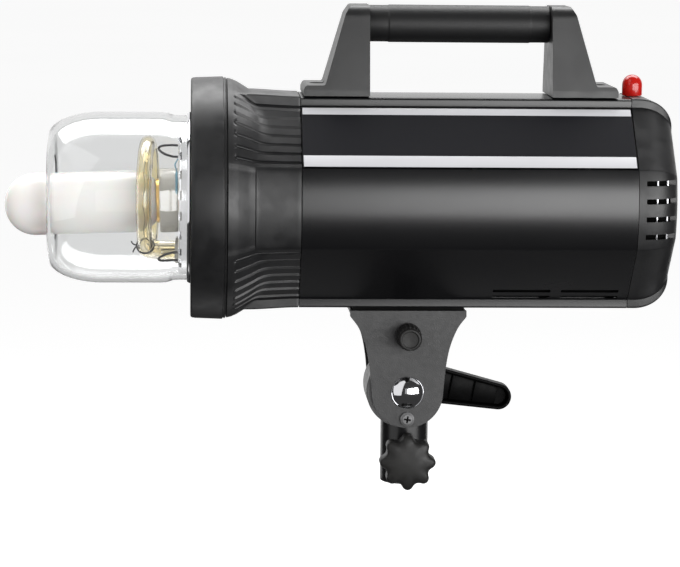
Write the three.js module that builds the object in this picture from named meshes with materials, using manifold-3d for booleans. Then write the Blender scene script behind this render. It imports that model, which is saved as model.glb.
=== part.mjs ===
// Monolight studio strobe on its tilting stand bracket.
// Millimetres, +Z up. The light fires towards -X, and -Y is the side with the clamp knobs.
// The origin is the centre of the blind end of the stand socket, where the stand's spigot bears.
import * as THREE from "three";
import { mergeVertices } from "three/addons/utils/BufferGeometryUtils.js";
import Module from "manifold-3d";

const wasm = await Module();
wasm.setup();

// ---- Driving dimensions ----

const GAP = 0.3; // between pieces that touch
const AXIS_Z = 135; // optical axis above the stand seat
const PIVOT_Z = 21.4; // tilt pivot above the stand seat
const BIG_ROUND = 40; // sides of a large circle
const ROUND = 24; // sides of a medium circle
const SMALL_ROUND = 12; // sides of a small circle

// Housing section: an octagon with bowed sides. y and z are distances from the optical axis.
const BODY = {
  top: 62.3, // half height, over the flat rails
  railHalf: 25, // half width of the flat top and bottom rails
  railFoot: 57, // height of the rail's foot, where the sloped panel starts
  side: 58.2, // half width where the bowed side panel starts
  sideHalf: 23.3, // half height of the bowed side panel
  bow: 3.8, // how far the side panel bows out
  wall: 2,
  front: -65.1,
  rear: 129.7,
};
const PLATE = { sum: 81.1, thick: 0.6 }; // sloped label panels: y + z on the shell's face
const RING = { front: -129.2, rear: -108.3, radius: 72.1, bore: 66.6, shelf: 61 };
const BAYONET = { front: -121.3, rear: -119, bore: 51.5, slotInner: 54, slotOuter: 62, slotAngle: 34 };
const COLLAR = { front: -108, rear: -65.4, wall: 2.6 };
const CAP = { front: 130, flareFrom: 134, rear: 154.9, inset: 18, wall: 2.6 };
const PAN = { front: -136.4, thick: 1.2, radius: 45.6, flange: 50.6, back: -123.2 };
const DOME = { front: -213.2, rear: -124.6, radius: 50.8, neck: 49, hole: 25, wall: 2.6 };
const DOME_RING = { front: -131.4, rear: -121.6, inner: 49.4, outer: 51.2 };
const TUBE = { x: -154.4, ringRadius: 32.3, radius: 4.6, lean: 2.2, legY: 7.8, legEnd: -134 };
const LAMP = {
  baseX: -140,
  baseZ: -1.6,
  droop: 1.9,
  radius: 18.4,
  tip: -239.4,
  neck: -156,
  wall: 1.2,
  capRadius: 13.1,
};
const HOLDER = { front: -147.4, rear: -112, radius: 19, bore: 13.6 };
const HANDLE = {
  frontInner: -24.5,
  rearInner: 83,
  top: 115.5,
  footTop: 68.8,
  screwAt: 30,
  half: 24.5,
  topHalf: 17.6,
  shoulder: 8,
  gripZ: 104.3,
  gripRadius: 11.1,
};
const SENSOR = { x: 133.6, radius: 6, neck: 2.4, top: 75 };
const PANEL = { front: 153.2, thick: 1.8, scale: 0.7 };

// Bracket and stand adapter, measured from the pivot.
const BRACKET = {
  innerHalf: 18.6,
  cheek: 4,
  plateLow: 46.1,
  plateHigh: 49.1,
  halfTop: 34.5,
  round: 21.3,
  screwZ: -16,
};
const KNUCKLE = { radius: 21.9, half: 17, discRadius: 21, bulge: 2.2 };
const SOCKET = { radius: 14.3, bore: 8.1, bottom: -36, knobZ: -19 };
const BOLT = { radius: 4, hole: 4.3, headRadius: 9.6, headHigh: 4.6 };
const STAR = { radius: 16.7, valley: 13.6, lobes: 8, near: -37, far: -23 };
const LEVER = { near: 23.2, far: 38, length: 61, hubRadius: 13, tipRadius: 8, angle: -10.8 };
const UMBRELLA = { z: 34.3, bore: 4.3, blockHalf: 18, knobRadius: 7.7, knobEnd: 6.6, knobFar: -40 };

// Controls on the rear face: [y, z] from the optical axis.
const DISPLAY = { half: 18, low: 20, high: 36 };
const DIAL = { at: [0, 4], radius: 11, rear: 160.4 };
const BUTTONS = {
  mode_button: [-27, 12],
  model_lamp_button: [-27, 0],
  sound_button: [27, 12],
  test_button: [27, 0],
};
const BUTTON = { radius: 4.2, rear: 157, front: 149 };
const INLET = { at: [-7, -25], halfWide: 13, halfHigh: 9.6, rear: 156.4 };
const SWITCH = { at: [14, -25], halfWide: 6, halfHigh: 9 };
const FUSE = { at: [28.5, -14.5], radius: 4.8 };
const JACK = { at: [-29, -14.5], radius: 4 };

// ---- Materials ----

function finish(color, roughness, metalness) {
  return new THREE.MeshStandardMaterial({ color, roughness, metalness });
}

const blackPlastic = finish(0x17181a, 0.5, 0);
const blackPaint = finish(0x1c1d1f, 0.35, 0.2);
const greyPaint = finish(0x3a3b3d, 0.55, 0.2);
const labelFilm = finish(0x26262b, 0.3, 0);
const rubber = finish(0x101011, 0.8, 0);
const chrome = finish(0xd8d8da, 0.1, 1);
const aluminium = finish(0xc9cacc, 0.25, 1);
const steel = finish(0x8d8f93, 0.35, 1);
const brass = finish(0xb08d4a, 0.35, 1);
const clearGlass = finish(0xf2f4f5, 0.05, 0);
const frostedGlass = finish(0xeeeeea, 0.4, 0);
const quartz = finish(0xd9c88a, 0.1, 0);
const ceramic = finish(0xd8d5c9, 0.6, 0);
const redLens = finish(0xc4141a, 0.2, 0);
const blueSleeve = finish(0x6fa6bd, 0.6, 0);
const darkLens = finish(0x0a0a0c, 0.1, 0);
const boardGreen = finish(0x1f5b34, 0.6, 0);
const capacitorSleeve = finish(0x22252e, 0.4, 0);

// ---- Solid helpers ----

// A closed solid from a three.js geometry.
function solid(geometry) {
  const bare = geometry.index ? geometry.toNonIndexed() : geometry.clone();
  for (const key of Object.keys(bare.attributes)) {
    if (key !== "position") bare.deleteAttribute(key);
  }
  const merged = mergeVertices(bare, 1e-4);
  const vertProperties = merged.attributes.position.array;
  const triVerts = new Uint32Array(merged.index.array);
  return new wasm.Manifold(new wasm.Mesh({ numProp: 3, vertProperties, triVerts }));
}

function node(name, shape, material) {
  const made = shape.getMesh();
  const geometry = new THREE.BufferGeometry();
  geometry.setAttribute("position", new THREE.BufferAttribute(made.vertProperties, 3));
  geometry.setIndex(new THREE.BufferAttribute(made.triVerts, 1));
  geometry.computeVertexNormals();
  const mesh = new THREE.Mesh(geometry, material);
  mesh.name = name;
  return mesh;
}

function box([x0, x1], [y0, y1], [z0, z1]) {
  const geometry = new THREE.BoxGeometry(x1 - x0, y1 - y0, z1 - z0);
  return solid(geometry.translate((x0 + x1) / 2, (y0 + y1) / 2, (z0 + z1) / 2));
}

// A shape made round local Z is turned so that Z lies along the named axis.
const ALONG = {
  x: (geometry) => geometry.rotateY(Math.PI / 2),
  y: (geometry) => geometry.rotateX(-Math.PI / 2),
  z: (geometry) => geometry,
};

// A cylinder or cone along an axis, from one place to the other on it. centre is a point on that axis.
function rod(axis, radius, [from, to], centre = [0, 0, 0], sides = ROUND, endRadius = radius) {
  const geometry = new THREE.CylinderGeometry(endRadius, radius, to - from, sides);
  geometry.rotateX(Math.PI / 2).translate(0, 0, (from + to) / 2);
  return solid(ALONG[axis](geometry).translate(...centre));
}

// A turned solid: profile points are [place along the axis, radius].
function turned(axis, profile, centre = [0, 0, 0], sides = BIG_ROUND) {
  const points = profile.map(([a, r]) => new THREE.Vector2(r, a));
  const onAxis = profile[0][1] === 0;
  if (!onAxis) points.push(points[0].clone());
  if (THREE.ShapeUtils.area(points) < 0) points.reverse();
  const geometry = new THREE.LatheGeometry(points, sides).rotateX(Math.PI / 2);
  return solid(ALONG[axis](geometry).translate(...centre));
}

function tube(axis, outer, inner, [from, to], centre = [0, 0, 0], sides = ROUND) {
  const profile = [[from, inner], [to, inner], [to, outer], [from, outer]];
  return turned(axis, profile, centre, sides);
}

// A prism along X from an outline of [y, z] points.
function prismX(outline, [from, to]) {
  const shape = new THREE.Shape(outline.map(([y, z]) => new THREE.Vector2(y, z)));
  const geometry = new THREE.ExtrudeGeometry(shape, { depth: to - from, bevelEnabled: false });
  geometry.translate(0, 0, from);
  const turn = new THREE.Matrix4().makeBasis(
    new THREE.Vector3(0, 1, 0),
    new THREE.Vector3(0, 0, 1),
    new THREE.Vector3(1, 0, 0),
  );
  return solid(geometry.applyMatrix4(turn));
}

// A prism along Y from a shape or an outline of [x, z] points.
function prismY(outline, [from, to], curveSegments = 10) {
  const shape = outline instanceof THREE.Shape
    ? outline
    : new THREE.Shape(outline.map(([x, z]) => new THREE.Vector2(x, z)));
  const settings = { depth: to - from, bevelEnabled: false, curveSegments };
  const geometry = new THREE.ExtrudeGeometry(shape, settings).translate(0, 0, -to);
  return solid(geometry.rotateX(Math.PI / 2));
}

// A solid through rings of points. Every ring is star-shaped about its own middle.
function loft(rings) {
  const count = rings[0].length;
  const points = rings.flat();
  const index = [];
  for (let i = 0; i + 1 < rings.length; i++) {
    for (let j = 0; j < count; j++) {
      const a = i * count + j;
      const b = i * count + ((j + 1) % count);
      index.push(a, b, b + count, a, b + count, a + count);
    }
  }
  for (const end of [0, rings.length - 1]) {
    const middle = new THREE.Vector3();
    rings[end].forEach((p) => middle.addScaledVector(p, 1 / count));
    const hub = points.push(middle) - 1;
    for (let j = 0; j < count; j++) {
      const a = end * count + j;
      const b = end * count + ((j + 1) % count);
      if (end === 0) index.push(hub, b, a);
      else index.push(hub, a, b);
    }
  }
  const geometry = new THREE.BufferGeometry().setFromPoints(points);
  geometry.setIndex(index);
  return solid(geometry);
}

// A round bar along a curve.
function bar(curve, radius, steps, halfSides) {
  const section = new THREE.Shape();
  section.absarc(0, 0, radius, 0, 2 * Math.PI);
  const settings = { steps, curveSegments: halfSides, extrudePath: curve, bevelEnabled: false };
  return solid(new THREE.ExtrudeGeometry(section, settings));
}

function joined(first, ...rest) {
  return rest.reduce((all, next) => all.add(next), first);
}

function cut(first, ...rest) {
  return rest.reduce((all, next) => all.subtract(next), first);
}

function mirroredY(shape) {
  return shape.mirror([0, 1, 0]);
}

// ---- Housing ----

// The right half of the housing's section, from the top rail's middle down to the bottom rail's.
function sideArc(steps = 6) {
  const arc = [];
  for (let i = 0; i <= steps; i++) {
    const t = (2 * i) / steps - 1;
    arc.push([BODY.side + BODY.bow * (1 - t * t), -t * BODY.sideHalf]);
  }
  return arc;
}

function bodyOutline(scale = 1) {
  const half = [
    [BODY.railHalf - 0.7, BODY.top],
    [BODY.railHalf, BODY.top - 0.7],
    [BODY.railHalf, BODY.railFoot],
    ...sideArc(),
    [BODY.railHalf, -BODY.railFoot],
    [BODY.railHalf, 0.7 - BODY.top],
    [BODY.railHalf - 0.7, -BODY.top],
  ];
  const other = half.map(([y, z]) => [-y, z]).reverse();
  return [...half, ...other].reverse().map(([y, z]) => [y * scale, z * scale]);
}

const INNER_SCALE = 1 - BODY.wall / BODY.top;

function upperShell() {
  const seam = BODY.sideHalf + GAP;
  const slopeTop = [BODY.railHalf - 0.4, PLATE.sum - BODY.railHalf + 0.4];
  const half = [
    [PLATE.sum - seam, seam],
    slopeTop,
    [BODY.railHalf, BODY.railFoot + 0.2],
    [BODY.railHalf, BODY.top - 0.7],
    [BODY.railHalf - 0.7, BODY.top],
  ];
  const inner = [
    [PLATE.sum - seam - 2.8, seam],
    [slopeTop[0] - 1, slopeTop[1] - 1.8],
    [BODY.railHalf - 2.2, BODY.top - BODY.wall],
  ];
  const outer = [...half, ...half.map(([y, z]) => [-y, z]).reverse()];
  const under = [...inner, ...inner.map(([y, z]) => [-y, z]).reverse()];
  const shell = prismX([...outer, ...under.reverse()], [BODY.front, BODY.rear]);
  const screws = [-54.5, 117].map((x) => rod("z", 2.2, [55, 70], [x, 0, 0], SMALL_ROUND));
  return node("upper_shell", cut(shell, ...screws), blackPaint);
}

// Two rows of two cooling slots through the lower sloped panel, on one side.
function coolingSlots(side) {
  const slots = [];
  for (const from of [49, 89.4]) {
    for (const z of [-51.3, -55.4]) {
      slots.push(box([from, from + 34.2], side < 0 ? [-45, -15] : [15, 45], [z - 0.75, z + 0.75]));
    }
  }
  return slots;
}

function lowerShell() {
  const half = [
    ...sideArc(),
    [BODY.railHalf, -BODY.railFoot],
    [BODY.railHalf, 0.7 - BODY.top],
    [BODY.railHalf - 0.7, -BODY.top],
  ];
  const outer = [...half, ...half.map(([y, z]) => [-y, z]).reverse()];
  const inner = outer.map(([y, z]) => [y * INNER_SCALE, Math.min(z * INNER_SCALE, BODY.sideHalf)]);
  inner[0][1] = BODY.sideHalf;
  inner[inner.length - 1][1] = BODY.sideHalf;
  const shell = prismX([...outer, ...inner.reverse()], [BODY.front, BODY.rear]);
  const screws = [-22, 22].map((x) => rod("z", 2.9, [-70, -50], [x, 0, 0], SMALL_ROUND));
  return node("lower_shell", cut(shell, ...coolingSlots(-1), ...coolingSlots(1), ...screws), blackPaint);
}

// A thin printed film on the sloped panel.
function nameplate(name, side) {
  const near = PLATE.sum + 0.42;
  const far = near + PLATE.thick * Math.SQRT2;
  const high = BODY.railFoot - 0.9;
  const low = BODY.sideHalf + 0.9;
  const outline = [
    [near - low, low],
    [far - low, low],
    [far - high, high],
    [near - high, high],
  ];
  const plate = prismX(outline, [BODY.front + 0.6, BODY.rear - 0.6]);
  return node(name, side < 0 ? mirroredY(plate) : plate, labelFilm);
}

// Rings of the housing outline at a place along X.
function bodyRing(x, scale) {
  return bodyOutline(scale).map(([y, z]) => new THREE.Vector3(x, y, z));
}

function frontCollar() {
  const flare = [
    [COLLAR.front, 71],
    [COLLAR.front + 3, 70.2],
    [COLLAR.front + 9, 66.6],
    [COLLAR.front + 15, 63.6],
    [COLLAR.front + 27, 57.6],
  ];
  const funnel = turned("x", [[COLLAR.front, 0], ...flare, [COLLAR.front + 27, 0]]);
  const skin = loft([bodyRing(COLLAR.front + 12, 1.02), bodyRing(COLLAR.rear, 1)]);
  const hollowFunnel = turned("x", [
    [COLLAR.front - 1, 0],
    ...flare.map(([x, r], i) => [i ? x : x - 1, r - COLLAR.wall]),
    [COLLAR.front + 27, 0],
  ]);
  const hollowSkin = loft([bodyRing(COLLAR.front + 13, 0.955), bodyRing(COLLAR.rear + 1, 0.955)]);
  const slot = box([-101, -79], [50, 75], [-3.2, 3.2]);
  const shape = cut(joined(funnel, skin), hollowFunnel, hollowSkin, slot);
  return node("front_collar", shape, blackPlastic);
}

// ---- Front: accessory mount, dome and lamps ----

function mountRing() {
  const profile = [
    [RING.front, RING.bore],
    [RING.front, 69.4],
    [RING.front + 1.7, 71.4],
    [RING.rear - 1.6, RING.radius],
    [RING.rear, 70.8],
    [RING.rear, RING.shelf],
    [BAYONET.rear + GAP, RING.shelf],
    [BAYONET.rear + GAP, RING.bore],
  ];
  return node("mount_ring", turned("x", profile), blackPlastic);
}

// The outline of an arc-shaped slot, as [y, z] points.
function arcSlot(inner, outer, middle, spread, steps = 8) {
  const points = [];
  for (let i = 0; i <= steps; i++) {
    const a = THREE.MathUtils.degToRad(middle - spread / 2 + (spread * i) / steps);
    points.push([outer * Math.cos(a), outer * Math.sin(a)]);
  }
  for (let i = steps; i >= 0; i--) {
    const a = THREE.MathUtils.degToRad(middle - spread / 2 + (spread * i) / steps);
    points.push([inner * Math.cos(a), inner * Math.sin(a)]);
  }
  return points;
}

const LOCK = { y: 57.6, radius: 2.4, front: -123.4, rear: -95 };

function bayonetPlate() {
  const disc = tube("x", RING.bore - GAP, BAYONET.bore, [BAYONET.front, BAYONET.rear], undefined, BIG_ROUND);
  const slots = [60, 180, 300].map((angle) =>
    prismX(arcSlot(BAYONET.slotInner, BAYONET.slotOuter, angle, BAYONET.slotAngle), [-125, -115]),
  );
  const pinHole = rod("x", LOCK.radius + 0.3, [-125, -115], [0, LOCK.y, 0], SMALL_ROUND);
  return node("bayonet_plate", cut(disc, ...slots, pinHole), steel);
}

function lockPin() {
  const shape = rod("x", LOCK.radius, [LOCK.front, LOCK.rear], [0, LOCK.y, 0], SMALL_ROUND);
  return node("lock_pin", shape, steel);
}

// The thumb slider that draws the lock pin back.
function lockSlider() {
  const carrier = box([-94.7, -88], [54, 68.5], [-2.8, 2.8]);
  const thumb = box([-98, -85.5], [66.6, 69.8], [-6, 6]);
  return node("lock_slider", joined(carrier, thumb), blackPlastic);
}

function reflectorPan() {
  const back = PAN.back + PAN.thick;
  const profile = [
    [PAN.front, 21.6],
    [PAN.front, PAN.radius],
    [PAN.back, PAN.radius],
    [PAN.back, PAN.flange],
    [back, PAN.flange],
    [back, PAN.radius - PAN.thick],
    [PAN.front + PAN.thick, PAN.radius - PAN.thick],
    [PAN.front + PAN.thick, 21.6],
  ];
  const legs = [-1, 1].map((side) =>
    rod("x", 7.4, [PAN.front - 5, PAN.front + 5], [0, side * TUBE.legY, -31.2], SMALL_ROUND),
  );
  return node("reflector_pan", cut(turned("x", profile), ...legs), aluminium);
}

function domeRing() {
  const profile = [
    [DOME_RING.front, DOME_RING.inner],
    [DOME_RING.front, DOME_RING.outer - 0.6],
    [DOME_RING.front + 0.6, DOME_RING.outer],
    [DOME_RING.rear, DOME_RING.outer],
    [DOME_RING.rear, 50.9],
    [PAN.back - GAP, 50.9],
    [PAN.back - GAP, DOME_RING.inner],
  ];
  return node("dome_ring", turned("x", profile), chrome);
}

function glassDome() {
  const outer = [
    [DOME.front, DOME.hole],
    [DOME.front, 36.4],
    [DOME.front + 1.2, 38],
    [-204.7, 42.6],
    [-191.6, 49.5],
    [-184.6, DOME.radius],
    [-146, DOME.radius],
    [-138, DOME.neck],
    [DOME.rear, DOME.neck],
  ];
  const wall = DOME.wall;
  const inner = [
    [DOME.rear, DOME.neck - wall],
    [-138.6, DOME.neck - wall],
    [-146.4, DOME.radius - wall],
    [-184, DOME.radius - wall],
    [-190.8, 46.8],
    [-203.2, 40.4],
    [DOME.front + wall, 34.6],
    [DOME.front + wall, DOME.hole],
  ];
  return node("glass_dome", turned("x", [...outer, ...inner]), clearGlass);
}

// A springy wire loop that stands on the pan and presses on the dome's neck.
function domeClip(name, angle) {
  const out = new THREE.Vector3(0, Math.cos(angle), Math.sin(angle));
  const across = new THREE.Vector3(0, -Math.sin(angle), Math.cos(angle));
  const at = (x, radius, sideways) =>
    new THREE.Vector3(x, 0, 0).addScaledVector(out, radius).addScaledVector(across, sideways);
  const curve = new THREE.CatmullRomCurve3([
    at(PAN.front - GAP, 40, -4.5),
    at(PAN.front - 5, 40.4, -4.3),
    at(PAN.front - 9.5, 41.6, -2.6),
    at(PAN.front - 11.5, 42.2, 0),
    at(PAN.front - 9.5, 41.6, 2.6),
    at(PAN.front - 5, 40.4, 4.3),
    at(PAN.front - GAP, 40, 4.5),
  ]);
  return node(name, bar(curve, 0.75, 12, 3), steel);
}

// The ring of the flash tube leans a little, and its two legs run back into their sockets.
function flashTubeCurve() {
  const points = [];
  const z = -TUBE.ringRadius * Math.cos(Math.asin(TUBE.legY / TUBE.ringRadius));
  const legs = (side) => [
    new THREE.Vector3(TUBE.legEnd, side * TUBE.legY, z),
    new THREE.Vector3(-141, side * TUBE.legY, z),
    new THREE.Vector3(-147, side * (TUBE.legY + 0.1), z),
    new THREE.Vector3(-151.6, side * (TUBE.legY + 1.8), z + 0.4),
  ];
  points.push(...legs(1));
  const steps = 22;
  for (let i = 0; i <= steps; i++) {
    const a = THREE.MathUtils.degToRad(26 + (308 * i) / steps);
    const y = TUBE.ringRadius * Math.sin(a);
    const lean = (TUBE.lean * y) / TUBE.ringRadius;
    points.push(new THREE.Vector3(TUBE.x + lean, y, -TUBE.ringRadius * Math.cos(a)));
  }
  points.push(...legs(-1).reverse());
  return new THREE.CatmullRomCurve3(points, false, "centripetal");
}

function tubeSocket(name, side) {
  const centre = [0, side * TUBE.legY, -31.3];
  const body = rod("x", 7, [-139, -126], centre, ROUND);
  const hole = rod("x", TUBE.radius + 0.45, [-140, -133], centre, ROUND);
  return cut(body, hole);
}

// A wire ring that ties the flash tube near its lowest turn.
function triggerWire() {
  const a = THREE.MathUtils.degToRad(324);
  const y = TUBE.ringRadius * Math.sin(a);
  const centre = new THREE.Vector3(
    TUBE.x + (TUBE.lean * y) / TUBE.ringRadius,
    y,
    -TUBE.ringRadius * Math.cos(a),
  );
  const along = new THREE.Vector3(0.07, Math.cos(a), Math.sin(a)).normalize();
  const ring = new THREE.TorusGeometry(TUBE.radius + 1.2, 0.55, 5, 14);
  const turn = new THREE.Quaternion().setFromUnitVectors(new THREE.Vector3(0, 0, 1), along);
  ring.applyQuaternion(turn).translate(centre.x, centre.y, centre.z);
  return node("trigger_wire", solid(ring), steel);
}

// The modelling lamp and its holder share an axis that droops towards the front.
function lampGroup() {
  const group = new THREE.Group();
  group.position.set(LAMP.baseX, 0, LAMP.baseZ);
  group.rotation.y = -THREE.MathUtils.degToRad(LAMP.droop);
  const from = (x) => x - LAMP.baseX;
  const endCentre = from(LAMP.tip) + LAMP.radius;
  // A round end and a straight wall, at a radius smaller than the outside by the given inset.
  const bulb = (inset) => {
    const points = [];
    for (let i = 0; i <= 6; i++) {
      const a = (Math.PI / 2) * (i / 6);
      const radius = LAMP.radius - inset;
      points.push([endCentre - radius * Math.cos(a), i ? radius * Math.sin(a) : 0]);
    }
    points.push([from(LAMP.neck) - 6, LAMP.radius - inset], [from(-149.6), 12.6 - inset]);
    return points;
  };
  const envelope = turned("x", [...bulb(0), ...bulb(LAMP.wall).reverse()], undefined, ROUND);
  group.add(node("lamp_envelope", envelope, frostedGlass));

  const cap = turned("x", [
    [from(-149.3), 0],
    [from(-149.3), LAMP.capRadius],
    [from(-126), LAMP.capRadius],
    [from(-122.5), 6],
    [from(-121.5), 5],
    [from(-121.5), 0],
  ], undefined, ROUND);
  group.add(node("lamp_cap", cap, brass));

  const holder = turned("x", [
    [from(HOLDER.front), HOLDER.bore],
    [from(HOLDER.front), HOLDER.radius],
    [from(HOLDER.rear), HOLDER.radius],
    [from(HOLDER.rear), 0],
    [from(-119), 0],
    [from(-119), HOLDER.bore],
  ].reverse(), undefined, 40);
  return { group, holder };
}

function thermalSensor() {
  const shape = box([-138.6, -136.8], [-27.5, -23.5], [4, 19]);
  return node("thermal_sensor", shape, blueSleeve);
}

// ---- Rear: end cap and controls ----

function capInset(x) {
  const share = Math.max(0, (x - CAP.flareFrom) / (CAP.rear - CAP.flareFrom));
  return CAP.inset * (1 - Math.sqrt(1 - share * share));
}

function capScale(x) {
  return 1 - capInset(x) / BODY.top;
}

function onRear([y, z], { halfWide, halfHigh }, [from, to], spare = 0) {
  const [wide, high] = [halfWide + spare, halfHigh + spare];
  return box([from, to], [y - wide, y + wide], [z - high, z + high]);
}

function rearOpenings() {
  const depth = [146, 160];
  const round = [
    [DIAL.at, 3.6],
    [FUSE.at, FUSE.radius + 0.4],
    [JACK.at, JACK.radius + 0.3],
    ...Object.values(BUTTONS).map((at) => [at, BUTTON.radius + 0.4]),
  ].map(([[y, z], radius]) => rod("x", radius, depth, [0, y, z], SMALL_ROUND));
  const half = DISPLAY.half + 0.4;
  const display = box(depth, [-half, half], [DISPLAY.low - 0.4, DISPLAY.high + 0.4]);
  return [...round, display, onRear(INLET.at, INLET, depth, 0.4), onRear(SWITCH.at, SWITCH, depth, 0.5)];
}

function rearCap() {
  const places = [CAP.front, CAP.flareFrom, 140, 145, 149, 152, 154, 154.8, CAP.rear];
  const outside = loft(places.map((x) => bodyRing(x, capScale(Math.min(x, 154.85)))));
  const inside = loft(
    [CAP.front - 1, CAP.flareFrom, 141, 146, 150].map((x) => bodyRing(x, capScale(x) - CAP.wall / BODY.top)),
  );
  const recess = prismX(bodyOutline(PANEL.scale + 0.006), [PANEL.front - GAP, 160]);
  const vents = [];
  for (const z of [-15.6, -5.2, 5.2, 15.6]) {
    for (const y of [[-70, -51], [51, 70]]) vents.push(box([134.3, 158], y, [z - 1.5, z + 1.5]));
  }
  const sensor = rod("z", SENSOR.neck + GAP, [50, 70], [SENSOR.x, 0, 0], SMALL_ROUND);
  return node("rear_cap", cut(outside, inside, recess, ...vents, ...rearOpenings(), sensor), blackPlastic);
}

function controlPanel() {
  const plate = prismX(bodyOutline(PANEL.scale), [PANEL.front, PANEL.front + PANEL.thick]);
  return node("control_panel", cut(plate, ...rearOpenings()), blackPaint);
}

function rearParts() {
  const parts = [];
  const window = box([150, 155.2], [-DISPLAY.half, DISPLAY.half], [DISPLAY.low, DISPLAY.high]);
  parts.push(node("display_window", window, darkLens));

  const [inletY, inletZ] = INLET.at;
  const flange = onRear(INLET.at, INLET, [130, INLET.rear]);
  const well = box([140, 160], [inletY - 11.8, inletY + 11.8], [inletZ - 7.6, inletZ + 7.6]);
  const pins = [[-7, -1.5], [0, 2.5], [7, -1.5]].map(([y, z]) =>
    box([139, 151.4], [inletY + y - 1, inletY + y + 1], [inletZ + z - 2, inletZ + z + 2]),
  );
  parts.push(node("power_inlet", joined(cut(flange, well), ...pins), blackPlastic));

  const [jackY, jackZ] = JACK.at;
  const jack = tube("x", JACK.radius, 1.85, [140, 156.2], [0, jackY, jackZ], SMALL_ROUND);
  parts.push(node("sync_jack", jack, steel));

  for (const [name, [y, z]] of Object.entries(BUTTONS)) {
    const shape = rod("x", BUTTON.radius, [BUTTON.front, BUTTON.rear], [0, y, z], SMALL_ROUND);
    parts.push(node(name, shape, greyPaint));
  }

  const [dialY, dialZ] = DIAL.at;
  const knob = rod("x", DIAL.radius, [155.4, DIAL.rear], [0, dialY, dialZ], ROUND, DIAL.radius - 0.8);
  const shaft = rod("x", 3, [145, 156], [0, dialY, dialZ], SMALL_ROUND);
  parts.push(node("power_dial", joined(knob, shaft), blackPlastic));

  const [switchY, switchZ] = SWITCH.at;
  const rocker = [
    [148, switchZ - 7.6],
    [155.5, switchZ - 7.6],
    [155.1, switchZ],
    [157.6, switchZ + 7.6],
    [148, switchZ + 7.6],
  ];
  parts.push(node("power_switch", prismY(rocker, [switchY - 5.4, switchY + 5.4]), blackPlastic));

  const [fuseY, fuseZ] = FUSE.at;
  const fuse = rod("x", FUSE.radius, [142, 158.4], [0, fuseY, fuseZ], ROUND);
  const driverSlot = box([157.2, 160], [fuseY - 4, fuseY + 4], [fuseZ - 0.8, fuseZ + 0.8]);
  parts.push(node("fuse_cap", cut(fuse, driverSlot), blackPlastic));
  return parts;
}

function sensorDome() {
  const low = 58;
  const shoulder = SENSOR.top - SENSOR.radius;
  const { neck, radius } = SENSOR;
  const profile = [[low, 0], [low, neck], [BODY.top + GAP, neck], [BODY.top + GAP, radius]];
  for (let i = 0; i <= 5; i++) {
    const a = (Math.PI / 2) * (i / 5);
    profile.push([shoulder + SENSOR.radius * Math.sin(a), i === 5 ? 0 : SENSOR.radius * Math.cos(a)]);
  }
  return node("sensor_dome", turned("z", profile, [SENSOR.x, 0, 0], 24), redLens);
}

// ---- Handle ----

// One handle post. inner is its face towards the grip, and way is the direction of its foot along X.
function handlePost(name, inner, way) {
  const x = (distance) => inner + way * distance;
  const low = BODY.top + GAP;
  const outline = [
    [x(0), low],
    [x(0), HANDLE.top],
    [x(11.5), HANDLE.top],
    [x(13.6), HANDLE.top - 1.6],
    [x(14.8), HANDLE.top - 5],
    [x(26.2), HANDLE.footTop],
    [x(36), HANDLE.footTop],
    [x(38.2), HANDLE.footTop - 1.2],
    [x(39), HANDLE.footTop - 3.4],
    [x(39), low],
  ];
  const body = prismY(outline, [-HANDLE.half, HANDLE.half]);
  const screwPlace = [x(HANDLE.screwAt), 0, 0];
  const pocket = rod("z", 4.6, [HANDLE.footTop - 3.8, HANDLE.footTop + 12], screwPlace, SMALL_ROUND);
  const screwHole = rod("z", 2.2, [60, 70], screwPlace, SMALL_ROUND);
  const ends = [x(-1), x(6)].sort((a, b) => a - b);
  const socket = rod("x", 6.3, ends, [0, 0, HANDLE.gripZ], SMALL_ROUND);
  const { half, topHalf, shoulder, top } = HANDLE;
  const side = [[half, low], [half, low + 4]];
  for (let i = 0; i <= 4; i++) {
    const a = (Math.PI / 8) * i;
    side.push([topHalf - shoulder * (1 - Math.cos(a)), top - shoulder * (1 - Math.sin(a))]);
  }
  const otherSide = side.map(([y, z]) => [-y, z]).reverse();
  const sides = prismX([...side, ...otherSide], [Math.min(x(0), x(39)), Math.max(x(0), x(39))]);
  return node(name, cut(body.intersect(sides), pocket, screwHole, socket), blackPlastic);
}

function handleGrip() {
  const { frontInner, rearInner, gripRadius, gripZ } = HANDLE;
  const profile = [
    [frontInner - 5.5, 0],
    [frontInner - 5.5, 6],
    [frontInner + GAP, 6],
    [frontInner + GAP, gripRadius],
    [rearInner - GAP, gripRadius],
    [rearInner - GAP, 6],
    [rearInner + 5.5, 6],
    [rearInner + 5.5, 0],
  ];
  return node("handle_grip", turned("x", profile, [0, 0, gripZ], ROUND), rubber);
}

// ---- Inside the housing ----

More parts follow.
